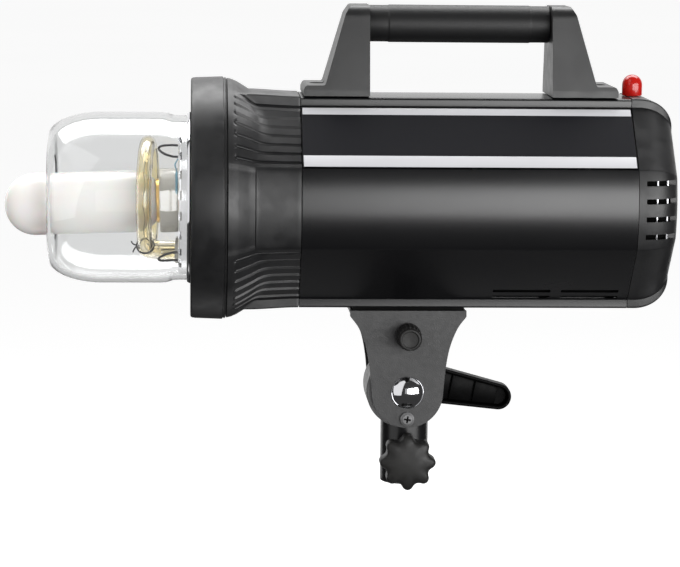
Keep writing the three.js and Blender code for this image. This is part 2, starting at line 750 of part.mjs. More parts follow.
function internals() {
  const parts = [];
  for (const [name, side] of [["capacitor_near", -1], ["capacitor_far", 1]]) {
    parts.push(node(name, rod("x", 17, [-48, 22], [0, side * 22, -30], ROUND), capacitorSleeve));
  }
  const board = box([-50, 98], [-44, 44], [0, 1.6]);
  const inductor = box([40, 66], [-14, 14], [1, 24]);
  const heatsink = box([70, 92], [-30, 30], [1, 22]);
  parts.push(node("main_board", joined(board, inductor, heatsink), boardGreen));

  const frame = box([106, 120], [-30, 30], [-30, 30]);
  const duct = rod("x", 27.5, [100, 125], [0, 0, 0], ROUND);
  const spokes = [0, 1, 2].map((i) => box([107, 109], [-1.5, 1.5], [6, 28.5]).rotate([i * 120, 0, 0]));
  const motor = rod("x", 8, [107, 110], [0, 0, 0], SMALL_ROUND);
  parts.push(node("fan_frame", joined(cut(frame, duct), motor, ...spokes), blackPlastic));

  const blades = [];
  for (let i = 0; i < 7; i++) {
    const blade = box([-0.7, 0.7], [-5, 5], [6, 26]).rotate([0, 0, 40]);
    blades.push(blade.rotate([(i * 360) / 7, 0, 0]).translate([115, 0, 0]));
  }
  const hub = rod("x", 9.5, [110.6, 119.5], [0, 0, 0], SMALL_ROUND);
  parts.push(node("fan_rotor", joined(hub, ...blades), blackPlastic));
  return parts;
}

// ---- Bracket, measured from the pivot ----

// Half the width of a bracket cheek at a height above the pivot.
const CHEEK_EDGE = [
  [16.6, 22.6],
  [28.1, 24.9],
  [38.2, 29],
  [45.1, 34.5],
];

function cheekShape() {
  const shape = new THREE.Shape();
  const { round, halfTop, plateHigh } = BRACKET;
  shape.moveTo(-halfTop, plateHigh);
  for (const [z, half] of [...CHEEK_EDGE].reverse()) shape.lineTo(-half, z);
  shape.lineTo(-round, 0);
  shape.absarc(0, 0, round, Math.PI, 2 * Math.PI, false);
  for (const [z, half] of CHEEK_EDGE) shape.lineTo(half, z);
  shape.lineTo(halfTop, plateHigh);
  return shape;
}

function tiltBracket() {
  const { innerHalf, cheek, plateLow, plateHigh, halfTop } = BRACKET;
  const outer = innerHalf + cheek;
  const near = prismY(cheekShape(), [-outer, -innerHalf]);
  const far = prismY(cheekShape(), [innerHalf, outer]);
  const top = box([-halfTop, halfTop], [-outer, outer], [plateLow, plateHigh]);
  const bolt = rod("y", BOLT.hole, [-30, 30], [0, 0, 0], 24);
  const knob = rod("y", 3.4, [-30, -10], [0, 0, UMBRELLA.z], SMALL_ROUND);
  const screw = rod("y", 2.3, [-30, -10], [0, 0, BRACKET.screwZ], SMALL_ROUND);
  const holes = [-22, 22].map((x) => rod("z", 2.9, [40, 60], [x, 0, 0], SMALL_ROUND));
  return node("tilt_bracket", cut(joined(near, far, top), bolt, knob, screw, ...holes), greyPaint);
}

function bracketPad() {
  const pad = box([-33, 33], [-22, 22], [BRACKET.plateHigh + GAP, 51]);
  const holes = [-22, 22].map((x) => rod("z", 2.9, [40, 60], [x, 0, 0], SMALL_ROUND));
  return node("bracket_pad", cut(pad, ...holes), rubber);
}

function bracketScrew(name, x) {
  const head = rod("z", 4.6, [42.8, BRACKET.plateLow - GAP], [x, 0, 0], SMALL_ROUND);
  const shank = rod("z", 2.5, [44, 60], [x, 0, 0], SMALL_ROUND);
  return node(name, joined(head, shank), steel);
}

function umbrellaBlock() {
  const { z, bore, blockHalf } = UMBRELLA;
  const block = box([-17, 17], [-blockHalf - 0.3, blockHalf + 0.3], [z - 7.6, z + 7.6]);
  const shaft = rod("x", bore, [-30, 30], [0, 0, z], 24);
  const thread = rod("y", 3.4, [-30, -2], [0, 0, z], SMALL_ROUND);
  return node("umbrella_block", cut(block, shaft, thread), greyPaint);
}

function pivotBolt() {
  const seat = -(BRACKET.innerHalf + BRACKET.cheek) - GAP;
  const profile = [[32, 0], [32, BOLT.radius], [seat, BOLT.radius], [seat, BOLT.headRadius]];
  for (let i = 1; i <= 5; i++) {
    const a = (Math.PI / 2) * (i / 5);
    profile.push([seat - BOLT.headHigh * Math.sin(a), i === 5 ? 0 : BOLT.headRadius * Math.cos(a)]);
  }
  return node("pivot_bolt", turned("y", profile, [0, 0, 0], ROUND), chrome);
}

function cheekScrew() {
  const head = rod("y", 4.2, [-25.2, -22.9], [0, 0, BRACKET.screwZ], SMALL_ROUND);
  const shank = rod("y", 2, [-24, -18.9], [0, 0, BRACKET.screwZ], SMALL_ROUND);
  const cross = joined(
    box([-2.6, 2.6], [-27, -24], [-14.8, -14]),
    box([-0.4, 0.4], [-27, -24], [-17, -11.8]),
  );
  return node("cheek_screw", cut(joined(head, shank), cross), steel);
}

function umbrellaKnob() {
  const { z, knobRadius, knobEnd, knobFar } = UMBRELLA;
  const shape = rod("y", knobEnd, [knobFar, -23.2], [0, 0, z], 24, knobRadius);
  const hole = rod("y", 3.2, [-36, -20], [0, 0, z], SMALL_ROUND);
  return node("umbrella_knob", cut(shape, hole), rubber);
}

function umbrellaStud() {
  const shape = rod("y", 2.9, [-35.7, -UMBRELLA.bore - 0.4], [0, 0, UMBRELLA.z], SMALL_ROUND);
  return node("umbrella_knob_stud", shape, steel);
}

// Lever outline: a hub circle and a smaller tip circle joined by straight edges.
function tiltLever() {
  const { hubRadius, tipRadius, length, near, far, angle } = LEVER;
  const lean = Math.asin((hubRadius - tipRadius) / length);
  const shape = new THREE.Shape();
  shape.absarc(0, 0, hubRadius, Math.PI / 2 - lean, 1.5 * Math.PI + lean, false);
  shape.absarc(length, 0, tipRadius, 1.5 * Math.PI + lean, 2.5 * Math.PI - lean, false);
  const whole = prismY(shape, [near, far], 9);
  const relief = box([hubRadius + 1, 80], [near - 1, near + 4.4], [-20, 20]);
  const hole = rod("y", 7.4, [near - 1, far - 3], [0, 0, 0], 24);
  const turn = [0, -angle, 0];
  return node("tilt_lever", cut(whole, relief, hole).rotate(turn), blackPlastic);
}

function leverHub() {
  const outer = rod("y", 7, [LEVER.near, LEVER.far - 3.4], [0, 0, 0], 24);
  const thread = rod("y", BOLT.hole, [LEVER.near - 1, 32.4], [0, 0, 0], 24);
  return node("lever_hub", cut(outer, thread), steel);
}

// ---- Stand adapter, measured from the stand seat ----

function standAdapter() {
  const { radius, bore, bottom, knobZ } = SOCKET;
  const width = [-KNUCKLE.half, KNUCKLE.half];
  const knuckle = rod("y", KNUCKLE.radius, width, [0, 0, PIVOT_Z], 40);
  const bulge = rod("y", KNUCKLE.radius, width, [-KNUCKLE.bulge, 0, PIVOT_Z], 40); // towards the front
  const tubeProfile = [[bottom, 0], [bottom, radius - 1.4], [bottom + 1.4, radius], [14, radius], [14, 0]];
  const stem = turned("z", tubeProfile, undefined, 40);
  const boss = rod("y", 8.4, [-20, -2], [0, 0, knobZ], 24);
  const spigot = rod("z", bore, [bottom - 2, 0], [0, 0, 0], 40);
  const thread = rod("y", 4.2, [-22, -2], [0, 0, knobZ], 24);
  const pivot = rod("y", BOLT.hole, [-30, 30], [0, 0, PIVOT_Z], 24);
  const shape = cut(joined(knuckle, bulge, stem, boss), spigot, thread, pivot);
  return node("stand_adapter", shape, blackPaint);
}

function frictionDisc(name, side) {
  const range = side < 0 ? [-18.3, -17.3] : [17.3, 18.3];
  return node(name, tube("y", KNUCKLE.discRadius, BOLT.hole, range, [0, 0, PIVOT_Z], 40), steel);
}

// A star knob: its edge runs between the lobe and valley radii.
function starKnob() {
  const points = [];
  const steps = STAR.lobes * 8;
  for (let i = 0; i < steps; i++) {
    const a = (2 * Math.PI * i) / steps;
    const swing = Math.cos(STAR.lobes * a);
    const r = (STAR.radius + STAR.valley) / 2 + ((STAR.radius - STAR.valley) / 2) * swing;
    points.push([r * Math.cos(a), SOCKET.knobZ + r * Math.sin(a)]);
  }
  const body = prismY(points, [STAR.near, STAR.far]);
  const hub = rod("y", 8, [STAR.near + 4, -20.4], [0, 0, SOCKET.knobZ], 24);
  const hole = rod("y", 4.2, [-33, -10], [0, 0, SOCKET.knobZ], SMALL_ROUND);
  return node("stand_knob", cut(joined(body, hub), hole), blackPlastic);
}

function starKnobStud() {
  const shape = rod("y", 3.8, [-32.7, -SOCKET.bore - 0.4], [0, 0, SOCKET.knobZ], SMALL_ROUND);
  return node("stand_knob_stud", shape, steel);
}

// ---- Assembly ----

const strobe = new THREE.Group();
const head = new THREE.Group();
head.position.z = AXIS_Z;
const bracket = new THREE.Group();
bracket.position.z = PIVOT_Z;
strobe.add(head, bracket);

const lamp = lampGroup();
lamp.group.add(node("lamp_holder", lamp.holder, ceramic));
const nearSocket = tubeSocket("tube_socket_near", -1).intersect(box([-150, -110], [-30, -0.15], [-60, 0]));
const farSocket = tubeSocket("tube_socket_far", 1).intersect(box([-150, -110], [0.15, 30], [-60, 0]));

head.add(
  upperShell(),
  lowerShell(),
  nameplate("nameplate_near", -1),
  nameplate("nameplate_far", 1),
  frontCollar(),
  mountRing(),
  bayonetPlate(),
  lockSlider(),
  lockPin(),
  reflectorPan(),
  domeRing(),
  glassDome(),
  domeClip("dome_clip_1", THREE.MathUtils.degToRad(132)),
  domeClip("dome_clip_2", THREE.MathUtils.degToRad(232)),
  domeClip("dome_clip_3", THREE.MathUtils.degToRad(2)),
  node("flash_tube", bar(flashTubeCurve(), TUBE.radius, 52, 4), quartz),
  triggerWire(),
  node("tube_socket_near", nearSocket, ceramic),
  node("tube_socket_far", farSocket, ceramic),
  lamp.group,
  thermalSensor(),
  rearCap(),
  controlPanel(),
  ...rearParts(),
  sensorDome(),
  handlePost("handle_front_post", HANDLE.frontInner, -1),
  handlePost("handle_rear_post", HANDLE.rearInner, 1),
  handleGrip(),
  ...internals(),
);
bracket.add(
  tiltBracket(),
  bracketPad(),
  bracketScrew("bracket_screw_front", -22),
  bracketScrew("bracket_screw_rear", 22),
  umbrellaBlock(),
  pivotBolt(),
  cheekScrew(),
  umbrellaKnob(),
  umbrellaStud(),
  tiltLever(),
  leverHub(),
);
strobe.add(
  standAdapter(),
  frictionDisc("friction_disc_near", -1),
  frictionDisc("friction_disc_far", 1),
  starKnob(),
  starKnobStud(),
);

export default strobe;
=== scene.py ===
"""Monolight studio strobe: the visual model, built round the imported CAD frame."""

import math

import bmesh
import bpy
from mathutils import Matrix, Vector


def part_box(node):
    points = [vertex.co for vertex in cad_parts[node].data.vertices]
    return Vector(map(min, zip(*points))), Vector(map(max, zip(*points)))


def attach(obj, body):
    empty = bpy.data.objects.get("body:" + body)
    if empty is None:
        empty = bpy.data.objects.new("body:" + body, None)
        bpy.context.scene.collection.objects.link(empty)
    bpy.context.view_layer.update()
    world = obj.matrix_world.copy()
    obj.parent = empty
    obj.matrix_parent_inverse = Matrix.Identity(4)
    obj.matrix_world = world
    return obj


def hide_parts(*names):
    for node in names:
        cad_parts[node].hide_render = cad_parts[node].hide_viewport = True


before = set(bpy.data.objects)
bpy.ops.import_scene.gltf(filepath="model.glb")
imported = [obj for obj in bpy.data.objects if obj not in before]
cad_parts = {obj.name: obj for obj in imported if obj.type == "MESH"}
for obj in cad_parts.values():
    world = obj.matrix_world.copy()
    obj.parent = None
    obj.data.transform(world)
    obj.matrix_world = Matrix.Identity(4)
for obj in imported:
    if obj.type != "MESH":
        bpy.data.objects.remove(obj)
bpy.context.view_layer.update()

MM = 0.001
SHARP_ANGLE = math.radians(32)


# ---------------------------------------------------------------- frame measures, in millimetres


class Extent:
    """A CAD node's box at rest, in millimetres."""

    def __init__(self, node):
        low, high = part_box(node)
        self.low = low / MM
        self.high = high / MM
        self.mid = (self.low + self.high) / 2
        self.size = self.high - self.low


E = {name: Extent(name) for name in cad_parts}

AXIS_Z = E["mount_ring"].mid.z  # optical axis
TOP_Z = E["rear_cap"].high.z  # flat rail on top of the housing
HALF_HEIGHT = TOP_Z - AXIS_Z
PIVOT_Z = E["friction_disc_near"].mid.z
GAP = 0.3


# ---------------------------------------------------------------- materials


def material(name, color, roughness, metalness=0.0, **sockets):
    mat = bpy.data.materials.new(name)
    mat.use_nodes = True
    shader = mat.node_tree.nodes["Principled BSDF"]
    shader.inputs["Base Color"].default_value = (*color, 1)
    shader.inputs["Roughness"].default_value = roughness
    shader.inputs["Metallic"].default_value = metalness
    for key, value in sockets.items():
        shader.inputs[key.replace("_", " ")].default_value = value
    return mat


def shader_of(mat):
    return mat.node_tree.nodes["Principled BSDF"]


def new_node(mat, kind, **values):
    made = mat.node_tree.nodes.new(kind)
    for key, value in values.items():
        if key in made.inputs:
            made.inputs[key].default_value = value
        else:
            setattr(made, key, value)
    return made


def noise(mat, scale, detail=3.0, stretch=(1, 1, 1)):
    """Noise in object space, in repeats per metre."""
    place = new_node(mat, "ShaderNodeTexCoord")
    mapping = new_node(mat, "ShaderNodeMapping")
    mapping.inputs["Scale"].default_value = stretch
    texture = new_node(mat, "ShaderNodeTexNoise")
    texture.inputs["Scale"].default_value = scale
    texture.inputs["Detail"].default_value = detail
    links = mat.node_tree.links
    links.new(place.outputs["Object"], mapping.inputs["Vector"])
    links.new(mapping.outputs["Vector"], texture.inputs["Vector"])
    return texture.outputs["Fac"]


def spread(mat, source, low, high, start=0.35, end=0.65):
    """A map of a 0..1 value onto low..high."""
    ranged = new_node(mat, "ShaderNodeMapRange")
    ranged.inputs["From Min"].default_value = start
    ranged.inputs["From Max"].default_value = end
    ranged.inputs["To Min"].default_value = low
    ranged.inputs["To Max"].default_value = high
    mat.node_tree.links.new(source, ranged.inputs["Value"])
    return ranged.outputs["Result"]


def vary_roughness(mat, scale, low, high, stretch=(1, 1, 1)):
    value = spread(mat, noise(mat, scale, 4.0, stretch), low, high)
    mat.node_tree.links.new(value, shader_of(mat).inputs["Roughness"])


def vary_color(mat, scale, dark, light, stretch=(1, 1, 1)):
    ramp = new_node(mat, "ShaderNodeValToRGB")
    ramp.color_ramp.elements[0].position = 0.35
    ramp.color_ramp.elements[1].position = 0.65
    ramp.color_ramp.elements[0].color = (*dark, 1)
    ramp.color_ramp.elements[1].color = (*light, 1)
    mat.node_tree.links.new(noise(mat, scale, 4.0, stretch), ramp.inputs["Fac"])
    mat.node_tree.links.new(ramp.outputs["Color"], shader_of(mat).inputs["Base Color"])


def grain(mat, scale, strength, distance, stretch=(1, 1, 1), detail=2.0):
    bump = new_node(mat, "ShaderNodeBump")
    bump.inputs["Strength"].default_value = strength
    bump.inputs["Distance"].default_value = distance
    mat.node_tree.links.new(noise(mat, scale, detail, stretch), bump.inputs["Height"])
    mat.node_tree.links.new(bump.outputs["Normal"], shader_of(mat).inputs["Normal"])


def worn_edges(mat, worn_color, amount=0.5):
    """A lighter rub along convex edges."""
    tree = mat.node_tree
    geometry = new_node(mat, "ShaderNodeNewGeometry")
    edge = spread(mat, geometry.outputs["Pointiness"], 0, amount, 0.53, 0.62)
    mix = new_node(mat, "ShaderNodeMix", data_type="RGBA")
    base = shader_of(mat).inputs["Base Color"]
    if base.is_linked:
        tree.links.new(base.links[0].from_socket, mix.inputs["A"])
    else:
        mix.inputs["A"].default_value = base.default_value
    mix.inputs["B"].default_value = (*worn_color, 1)
    tree.links.new(edge, mix.inputs["Factor"])
    tree.links.new(mix.outputs["Result"], base)


def make_materials():
    m = {}
    m["plastic"] = material("satin_black_plastic", (0.006, 0.006, 0.0065), 0.4)
    vary_color(m["plastic"], 60, (0.005, 0.005, 0.0055), (0.0075, 0.0075, 0.008))
    vary_roughness(m["plastic"], 90, 0.36, 0.5)
    grain(m["plastic"], 2600, 0.12, 0.0002)
    m["post"] = material("handle_satin_plastic", (0.009, 0.009, 0.0092), 0.4, 0, Specular_IOR_Level=0.55)
    vary_color(m["post"], 45, (0.007, 0.007, 0.0072), (0.012, 0.012, 0.0122))
    vary_roughness(m["post"], 120, 0.37, 0.44)
    grain(m["post"], 2200, 0.2, 0.00025)
    m["paint"] = material("satin_black_coat", (0.0035, 0.0035, 0.004), 0.26)
    vary_roughness(m["paint"], 25, 0.245, 0.28, (0.35, 1, 1))
    grain(m["paint"], 900, 0.05, 0.0002)
    m["cast"] = material("bracket_grey_coat", (0.018, 0.018, 0.0185), 0.5, 0, Specular_IOR_Level=0.6)
    vary_color(m["cast"], 40, (0.016, 0.016, 0.0165), (0.021, 0.021, 0.0215))
    vary_roughness(m["cast"], 300, 0.46, 0.56)
    grain(m["cast"], 1700, 0.3, 0.0003)
    m["film"] = material("label_film", (0.006, 0.006, 0.008), 0.3, 0, Specular_IOR_Level=0.35)
    vary_roughness(m["film"], 1500, 0.29, 0.33)
    m["stripe"] = material("silver_stripe", (0.52, 0.52, 0.54), 0.42, 0.25)
    vary_roughness(m["stripe"], 30, 0.34, 0.5, (0.3, 1, 1))
    m["rubber"] = material("matt_rubber", (0.004, 0.004, 0.0043), 0.5, 0, Specular_IOR_Level=0.4)
    vary_roughness(m["rubber"], 1200, 0.44, 0.54)
    grain(m["rubber"], 1900, 0.3, 0.0003)
    m["knob"] = material("knob_plastic", (0.011, 0.0105, 0.01), 0.5, 0, Specular_IOR_Level=0.3)
    vary_color(m["knob"], 80, (0.009, 0.0088, 0.0085), (0.013, 0.0125, 0.012))
    vary_roughness(m["knob"], 200, 0.4, 0.54)
    grain(m["knob"], 2400, 0.2, 0.00025)
    m["chrome"] = material("polished_chrome", (0.7, 0.7, 0.72), 0.06, 1)
    vary_roughness(m["chrome"], 60, 0.04, 0.1)
    m["lever"] = material("lever_black_plastic", (0.002, 0.002, 0.0021), 0.4, 0, Specular_IOR_Level=0.04)
    vary_roughness(m["lever"], 200, 0.3, 0.42)
    m["mirror"] = material("polished_aluminium", (0.82, 0.82, 0.83), 0.16, 1)
    vary_roughness(m["mirror"], 80, 0.12, 0.24)
    m["steel"] = material("turned_steel", (0.5, 0.5, 0.52), 0.34, 1)
    vary_roughness(m["steel"], 500, 0.26, 0.42, (0.2, 1, 1))
    m["knuckle"] = material("knuckle_grey_coat", (0.11, 0.11, 0.111), 0.5)
    vary_roughness(m["knuckle"], 300, 0.36, 0.5)
    grain(m["knuckle"], 1500, 0.2, 0.0002)
    m["screw"] = material("dulled_screw_steel", (0.13, 0.13, 0.132), 0.42, 0.3)
    vary_roughness(m["screw"], 400, 0.36, 0.48)
    m["dark_steel"] = material("blackened_steel", (0.06, 0.06, 0.062), 0.38, 0.8)
    vary_roughness(m["dark_steel"], 400, 0.3, 0.48)
    m["brass"] = material("plain_brass", (0.72, 0.5, 0.2), 0.3, 1)
    vary_roughness(m["brass"], 200, 0.22, 0.4)
    m["glass"] = material("clear_dome_glass", (0.98, 0.985, 0.985), 0.0, 0, Transmission_Weight=1.0, IOR=1.47)
    vary_roughness(m["glass"], 12, 0.0, 0.015)
    m["frosted"] = material("frosted_lamp_glass", (0.79, 0.785, 0.76), 0.2, 0, Subsurface_Weight=0.2)
    vary_color(m["frosted"], 18, (0.77, 0.765, 0.735), (0.81, 0.805, 0.785))
    m["quartz"] = material("gold_tinted_quartz", (0.97, 0.92, 0.74), 0.02, 0, Transmission_Weight=1.0, IOR=1.46)
    vary_color(m["quartz"], 70, (0.95, 0.87, 0.6), (0.985, 0.95, 0.87))
    m["ceramic"] = material("lamp_ceramic", (0.6, 0.58, 0.53), 0.3)
    vary_color(m["ceramic"], 90, (0.55, 0.53, 0.48), (0.64, 0.62, 0.57))
    vary_roughness(m["ceramic"], 200, 0.24, 0.4)
    m["red"] = material("red_lens", (0.5, 0.012, 0.008), 0.14, 0, Transmission_Weight=0.3, IOR=1.49)
    vary_roughness(m["red"], 60, 0.08, 0.18)
    m["sleeve"] = material("blue_sleeve", (0.25, 0.48, 0.6), 0.6)
    grain(m["sleeve"], 2500, 0.5, 0.0004)
    m["smoked"] = material("smoked_window", (0.006, 0.006, 0.008), 0.08)
    vary_roughness(m["smoked"], 30, 0.05, 0.12)
    m["segment"] = material("display_segment", (0.16, 0.03, 0.03), 0.4)
    vary_roughness(m["segment"], 60, 0.3, 0.5)
    m["button"] = material("button_grey", (0.16, 0.16, 0.165), 0.5)
    vary_roughness(m["button"], 200, 0.42, 0.6)
    grain(m["button"], 2500, 0.2, 0.0002)
    m["mark"] = material("white_mark", (0.75, 0.75, 0.75), 0.5)
    vary_roughness(m["mark"], 100, 0.4, 0.6)
    m["board"] = material("board_green", (0.02, 0.11, 0.05), 0.4)
    vary_color(m["board"], 200, (0.015, 0.09, 0.04), (0.03, 0.14, 0.06))
    m["sleeve_dark"] = material("capacitor_sleeve", (0.02, 0.024, 0.05), 0.3)
    vary_roughness(m["sleeve_dark"], 80, 0.25, 0.4)
    # Near-black and almost without gloss: painted shade, put in slots, vents, hollows and recesses so that they read
    # as dark
    m["painted_shade_black"] = material("painted_shade_black", (0.002, 0.002, 0.002), 0.8, 0, Specular_IOR_Level=0.1)
    vary_roughness(m["painted_shade_black"], 80, 0.7, 0.9)
    return m


M = make_materials()


# ---------------------------------------------------------------- mesh helpers, in millimetres


def at(axis, along, u, v):
    """A point from its place along an axis and its two other coordinates, in X, Y, Z order."""
    if axis == "x":
        return (along, u, v)
    if axis == "y":
        return (u, along, v)
    return (u, v, along)


def mesh_object(name, points, faces, face_materials=None):
    mesh = bpy.data.meshes.new(name)
    mesh.from_pydata([Vector(p) * MM for p in points], [], faces)
    if face_materials:
        mesh.polygons.foreach_set("material_index", face_materials)
    work = bmesh.new()
    work.from_mesh(mesh)
    bmesh.ops.remove_doubles(work, verts=work.verts, dist=0.002 * MM)
    bmesh.ops.recalc_face_normals(work, faces=work.faces)
    work.to_mesh(mesh)
    work.free()
    obj = bpy.data.objects.new(name, mesh)
    bpy.context.scene.collection.objects.link(obj)
    return obj


def settle(obj):
    """Applies the object's modifiers to its mesh."""
    graph = bpy.context.evaluated_depsgraph_get()
    mesh = bpy.data.meshes.new_from_object(obj.evaluated_get(graph))
    obj.modifiers.clear()
    obj.data = mesh


def carve(obj, cutters, operation="DIFFERENCE"):
    """Cuts each cutter out of a mesh, or joins them with operation UNION."""
    for cutter in cutters:
        change = obj.modifiers.new("carve", "BOOLEAN")
        change.operation = operation
        change.solver = "EXACT"
        change.object = cutter
    bpy.context.view_layer.update()
    settle(obj)
    for cutter in cutters:
        bpy.data.objects.remove(cutter)


def bevel(obj, width, segments=2, angle=28):
    soften = obj.modifiers.new("bevel", "BEVEL")
    soften.width = width * MM
    soften.segments = segments
    soften.limit_method = "ANGLE"
    soften.angle_limit = math.radians(angle)
    soften.harden_normals = False
    soften.use_clamp_overlap = True
    bpy.context.view_layer.update()
    settle(obj)


def finish_piece(obj, body, mats, nodes=(), sharp=SHARP_ANGLE, flat=False):
    """Shades a piece, gives it its materials and puts it on its body in place of its CAD nodes.
    flat keeps the shading of large flat faces even up to their bevels."""
    obj.data.materials.clear()
    for mat in mats if isinstance(mats, list) else [mats]:
        obj.data.materials.append(mat)
    obj.data.shade_smooth()
    obj.data.set_sharp_from_angle(angle=sharp)
    if flat:
        even = obj.modifiers.new("even_shading", "WEIGHTED_NORMAL")
        even.keep_sharp = True
        even.weight = 80
    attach(obj, body)
    if nodes:
        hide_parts(*nodes)
    return obj


def turned(name, axis, profile, centre=(0, 0, 0), sides=96):
    """A turned solid. Profile points are (place along the axis, radius)."""
    closed = profile[0][1] > 0
    points, faces = [], []
    for along, radius in profile:
        for i in range(sides):
            a = 2 * math.pi * i / sides
            u, v = radius * math.cos(a), radius * math.sin(a)
            points.append(Vector(at(axis, along, u, v)) + Vector(centre))
    rows = len(profile)
    for r in range(rows if closed else rows - 1):
        low, high = r * sides, ((r + 1) % rows) * sides
        for i in range(sides):
            j = (i + 1) % sides
            faces.append((low + i, low + j, high + j, high + i))
    obj = mesh_object(name, points, faces)
    return obj


def arc(centre, radius, start, end, steps=8):
    """Points of an arc, with its angles in degrees."""
    made = []
    for i in range(steps + 1):
        a = math.radians(start + (end - start) * i / steps)
        made.append((centre[0] + radius * math.cos(a), centre[1] + radius * math.sin(a)))
    return made


def rounded(points, radius, steps=4, closed=True):
    """A polyline with its corners rounded. A point may carry its own radius as a third number."""
    made = []
    count = len(points)
    for i, point in enumerate(points):
        here = Vector(point[:2])
        r = point[2] if len(point) > 2 else radius
        if r == 0 or (not closed and i in (0, count - 1)):
            made.append(tuple(here))
            continue
        before, after = Vector(points[i - 1][:2]), Vector(points[(i + 1) % count][:2])
        to_before, to_after = before - here, after - here
        reach_before, reach_after = to_before.length, to_after.length
        if min(reach_before, reach_after) < 1e-6:
            made.append(tuple(here))
            continue
        to_before.normalize()
        to_after.normalize()
        angle = to_before.angle(to_after)
        if angle > math.radians(178):
            made.append(tuple(here))
            continue
        reach = min(r / math.tan(angle / 2), 0.45 * reach_before, 0.45 * reach_after)
        start, end = here + to_before * reach, here + to_after * reach
        for k in range(steps + 1):
            t = k / steps
            made.append(tuple(start.lerp(here, t).lerp(here.lerp(end, t), t)))
    return made


def prism(name, axis, outline, start, end):
    """A straight solid from an outline in the plane across its axis."""
    count = len(outline)
    points = [at(axis, a, u, v) for a in (start, end) for u, v in outline]
    faces = [(i, (i + 1) % count, count + (i + 1) % count, count + i) for i in range(count)]
    faces.append(tuple(range(count)))
    faces.append(tuple(reversed(range(count, 2 * count))))
    return mesh_object(name, points, faces)


def block(name, low, high):
    outline = [(low[1], low[2]), (high[1], low[2]), (high[1], high[2]), (low[1], high[2])]
    return prism(name, "x", outline, low[0], high[0])


def rod(name, axis, radius, start, end, centre=(0, 0, 0), sides=48, edge=0.0):
    """A round bar with softened ends. centre is a point on its axis."""
    profile = [(start, 0), (start, radius, edge), (end, radius, edge), (end, 0)]
    return turned(name, axis, rounded(profile, edge, 3, False), centre, sides)


def skin(name, rings, closed_ends=True):
    """A surface through rings of points."""
    count = len(rings[0])
    points = [p for ring in rings for p in ring]
    faces = []
    for r in range(len(rings) - 1):
        for i in range(count):
            j = (i + 1) % count
            faces.append((r * count + i, r * count + j, (r + 1) * count + j, (r + 1) * count + i))
    if closed_ends:
        faces.append(tuple(range(count)))
        faces.append(tuple((len(rings) - 1) * count + i for i in reversed(range(count))))
    return mesh_object(name, points, faces)


def sweep(name, path, radius, sides=16, closed=False):
    """A round bar along a path of points, with a frame that doesn't twist. radius may be a list."""
    path = [Vector(p) for p in path]
    count = len(path)
    radii = radius if isinstance(radius, list) else [radius] * count
    rings = []
    normal = None
    for i, point in enumerate(path):
        ahead = path[(i + 1) % count] if closed or i + 1 < count else path[i]
        behind = path[i - 1] if closed or i > 0 else path[i]
        tangent = (ahead - behind).normalized()
        if normal is None:
            normal = tangent.orthogonal().normalized()
        normal = (normal - tangent * normal.dot(tangent)).normalized()
        other = tangent.cross(normal)
        ring = []
        for k in range(sides):
            a = 2 * math.pi * k / sides
            ring.append(point + (normal * math.cos(a) + other * math.sin(a)) * radii[i])
        rings.append(ring)
    if closed:
        rings.append(rings[0])
    return skin(name, rings, not closed)


def smooth_path(points, steps=8):
    """A Catmull-Rom curve through the points."""
    pts = [Vector(p) for p in points]
    pts = [pts[0] * 2 - pts[1]] + pts + [pts[-1] * 2 - pts[-2]]
    made = []
    for i in range(1, len(pts) - 2):
        a, b, c, d = pts[i - 1 : i + 3]
        for k in range(steps):
            t = k / steps
            made.append(
                0.5 * ((2 * b) + (c - a) * t + (2 * a - 5 * b + 4 * c - d) * t**2 + (3 * b - a - 3 * c + d) * t**3)
            )
    made.append(pts[-2])
    return made


def merge(name, objects):
    """One object from several."""
    points, faces = [], []
    for obj in objects:
        base = len(points)
        points += [v.co / MM for v in obj.data.vertices]
        faces += [tuple(base + i for i in p.vertices) for p in obj.data.polygons]
        bpy.data.objects.remove(obj)
    mesh = bpy.data.meshes.new(name)
    mesh.from_pydata([Vector(p) * MM for p in points], [], faces)
    obj = bpy.data.objects.new(name, mesh)
    bpy.context.scene.collection.objects.link(obj)
    return obj


# ---------------------------------------------------------------- housing section

RAIL_HALF = 25.0  # half width of the flat rails on top and underneath
RAIL_FOOT = 57.0  # height above the axis where the sloped panels start
SIDE_LOW = 23.3  # height above the axis where the bowed side panels start
SIDE_HALF = 58.2  # half width there
BOW = E["lower_shell"].size.y / 2 - SIDE_HALF
SHELL_FRONT, SHELL_REAR = E["lower_shell"].low.x, E["lower_shell"].high.x


def bowed_side(steps=20):
    """The bowed side panel from its top edge down, as (y, z) from the axis."""
    made = []
    for i in range(steps + 1):
        t = 2 * i / steps - 1
        made.append((SIDE_HALF + BOW * (1 - t * t), -t * SIDE_LOW))
    return made


def right_half():
    """The housing's outline from the top rail's edge down to the bottom rail's edge."""
    top = [(RAIL_HALF - 0.8, HALF_HEIGHT), (RAIL_HALF, HALF_HEIGHT - 0.8), (RAIL_HALF, RAIL_FOOT)]
    bottom = [(y, -z) for y, z in reversed(top)]
    return top + bowed_side() + bottom


def whole(half):
    """Both sides of an outline that is given for +Y."""
    return half + [(-y, z) for y, z in reversed(half)]


def lifted(outline):
    """An outline about the optical axis, moved to the frame's own height."""
    return [(y, z + AXIS_Z) for y, z in outline]


def scaled(outline, factor):
    return [(y * factor, z * factor) for y, z in outline]


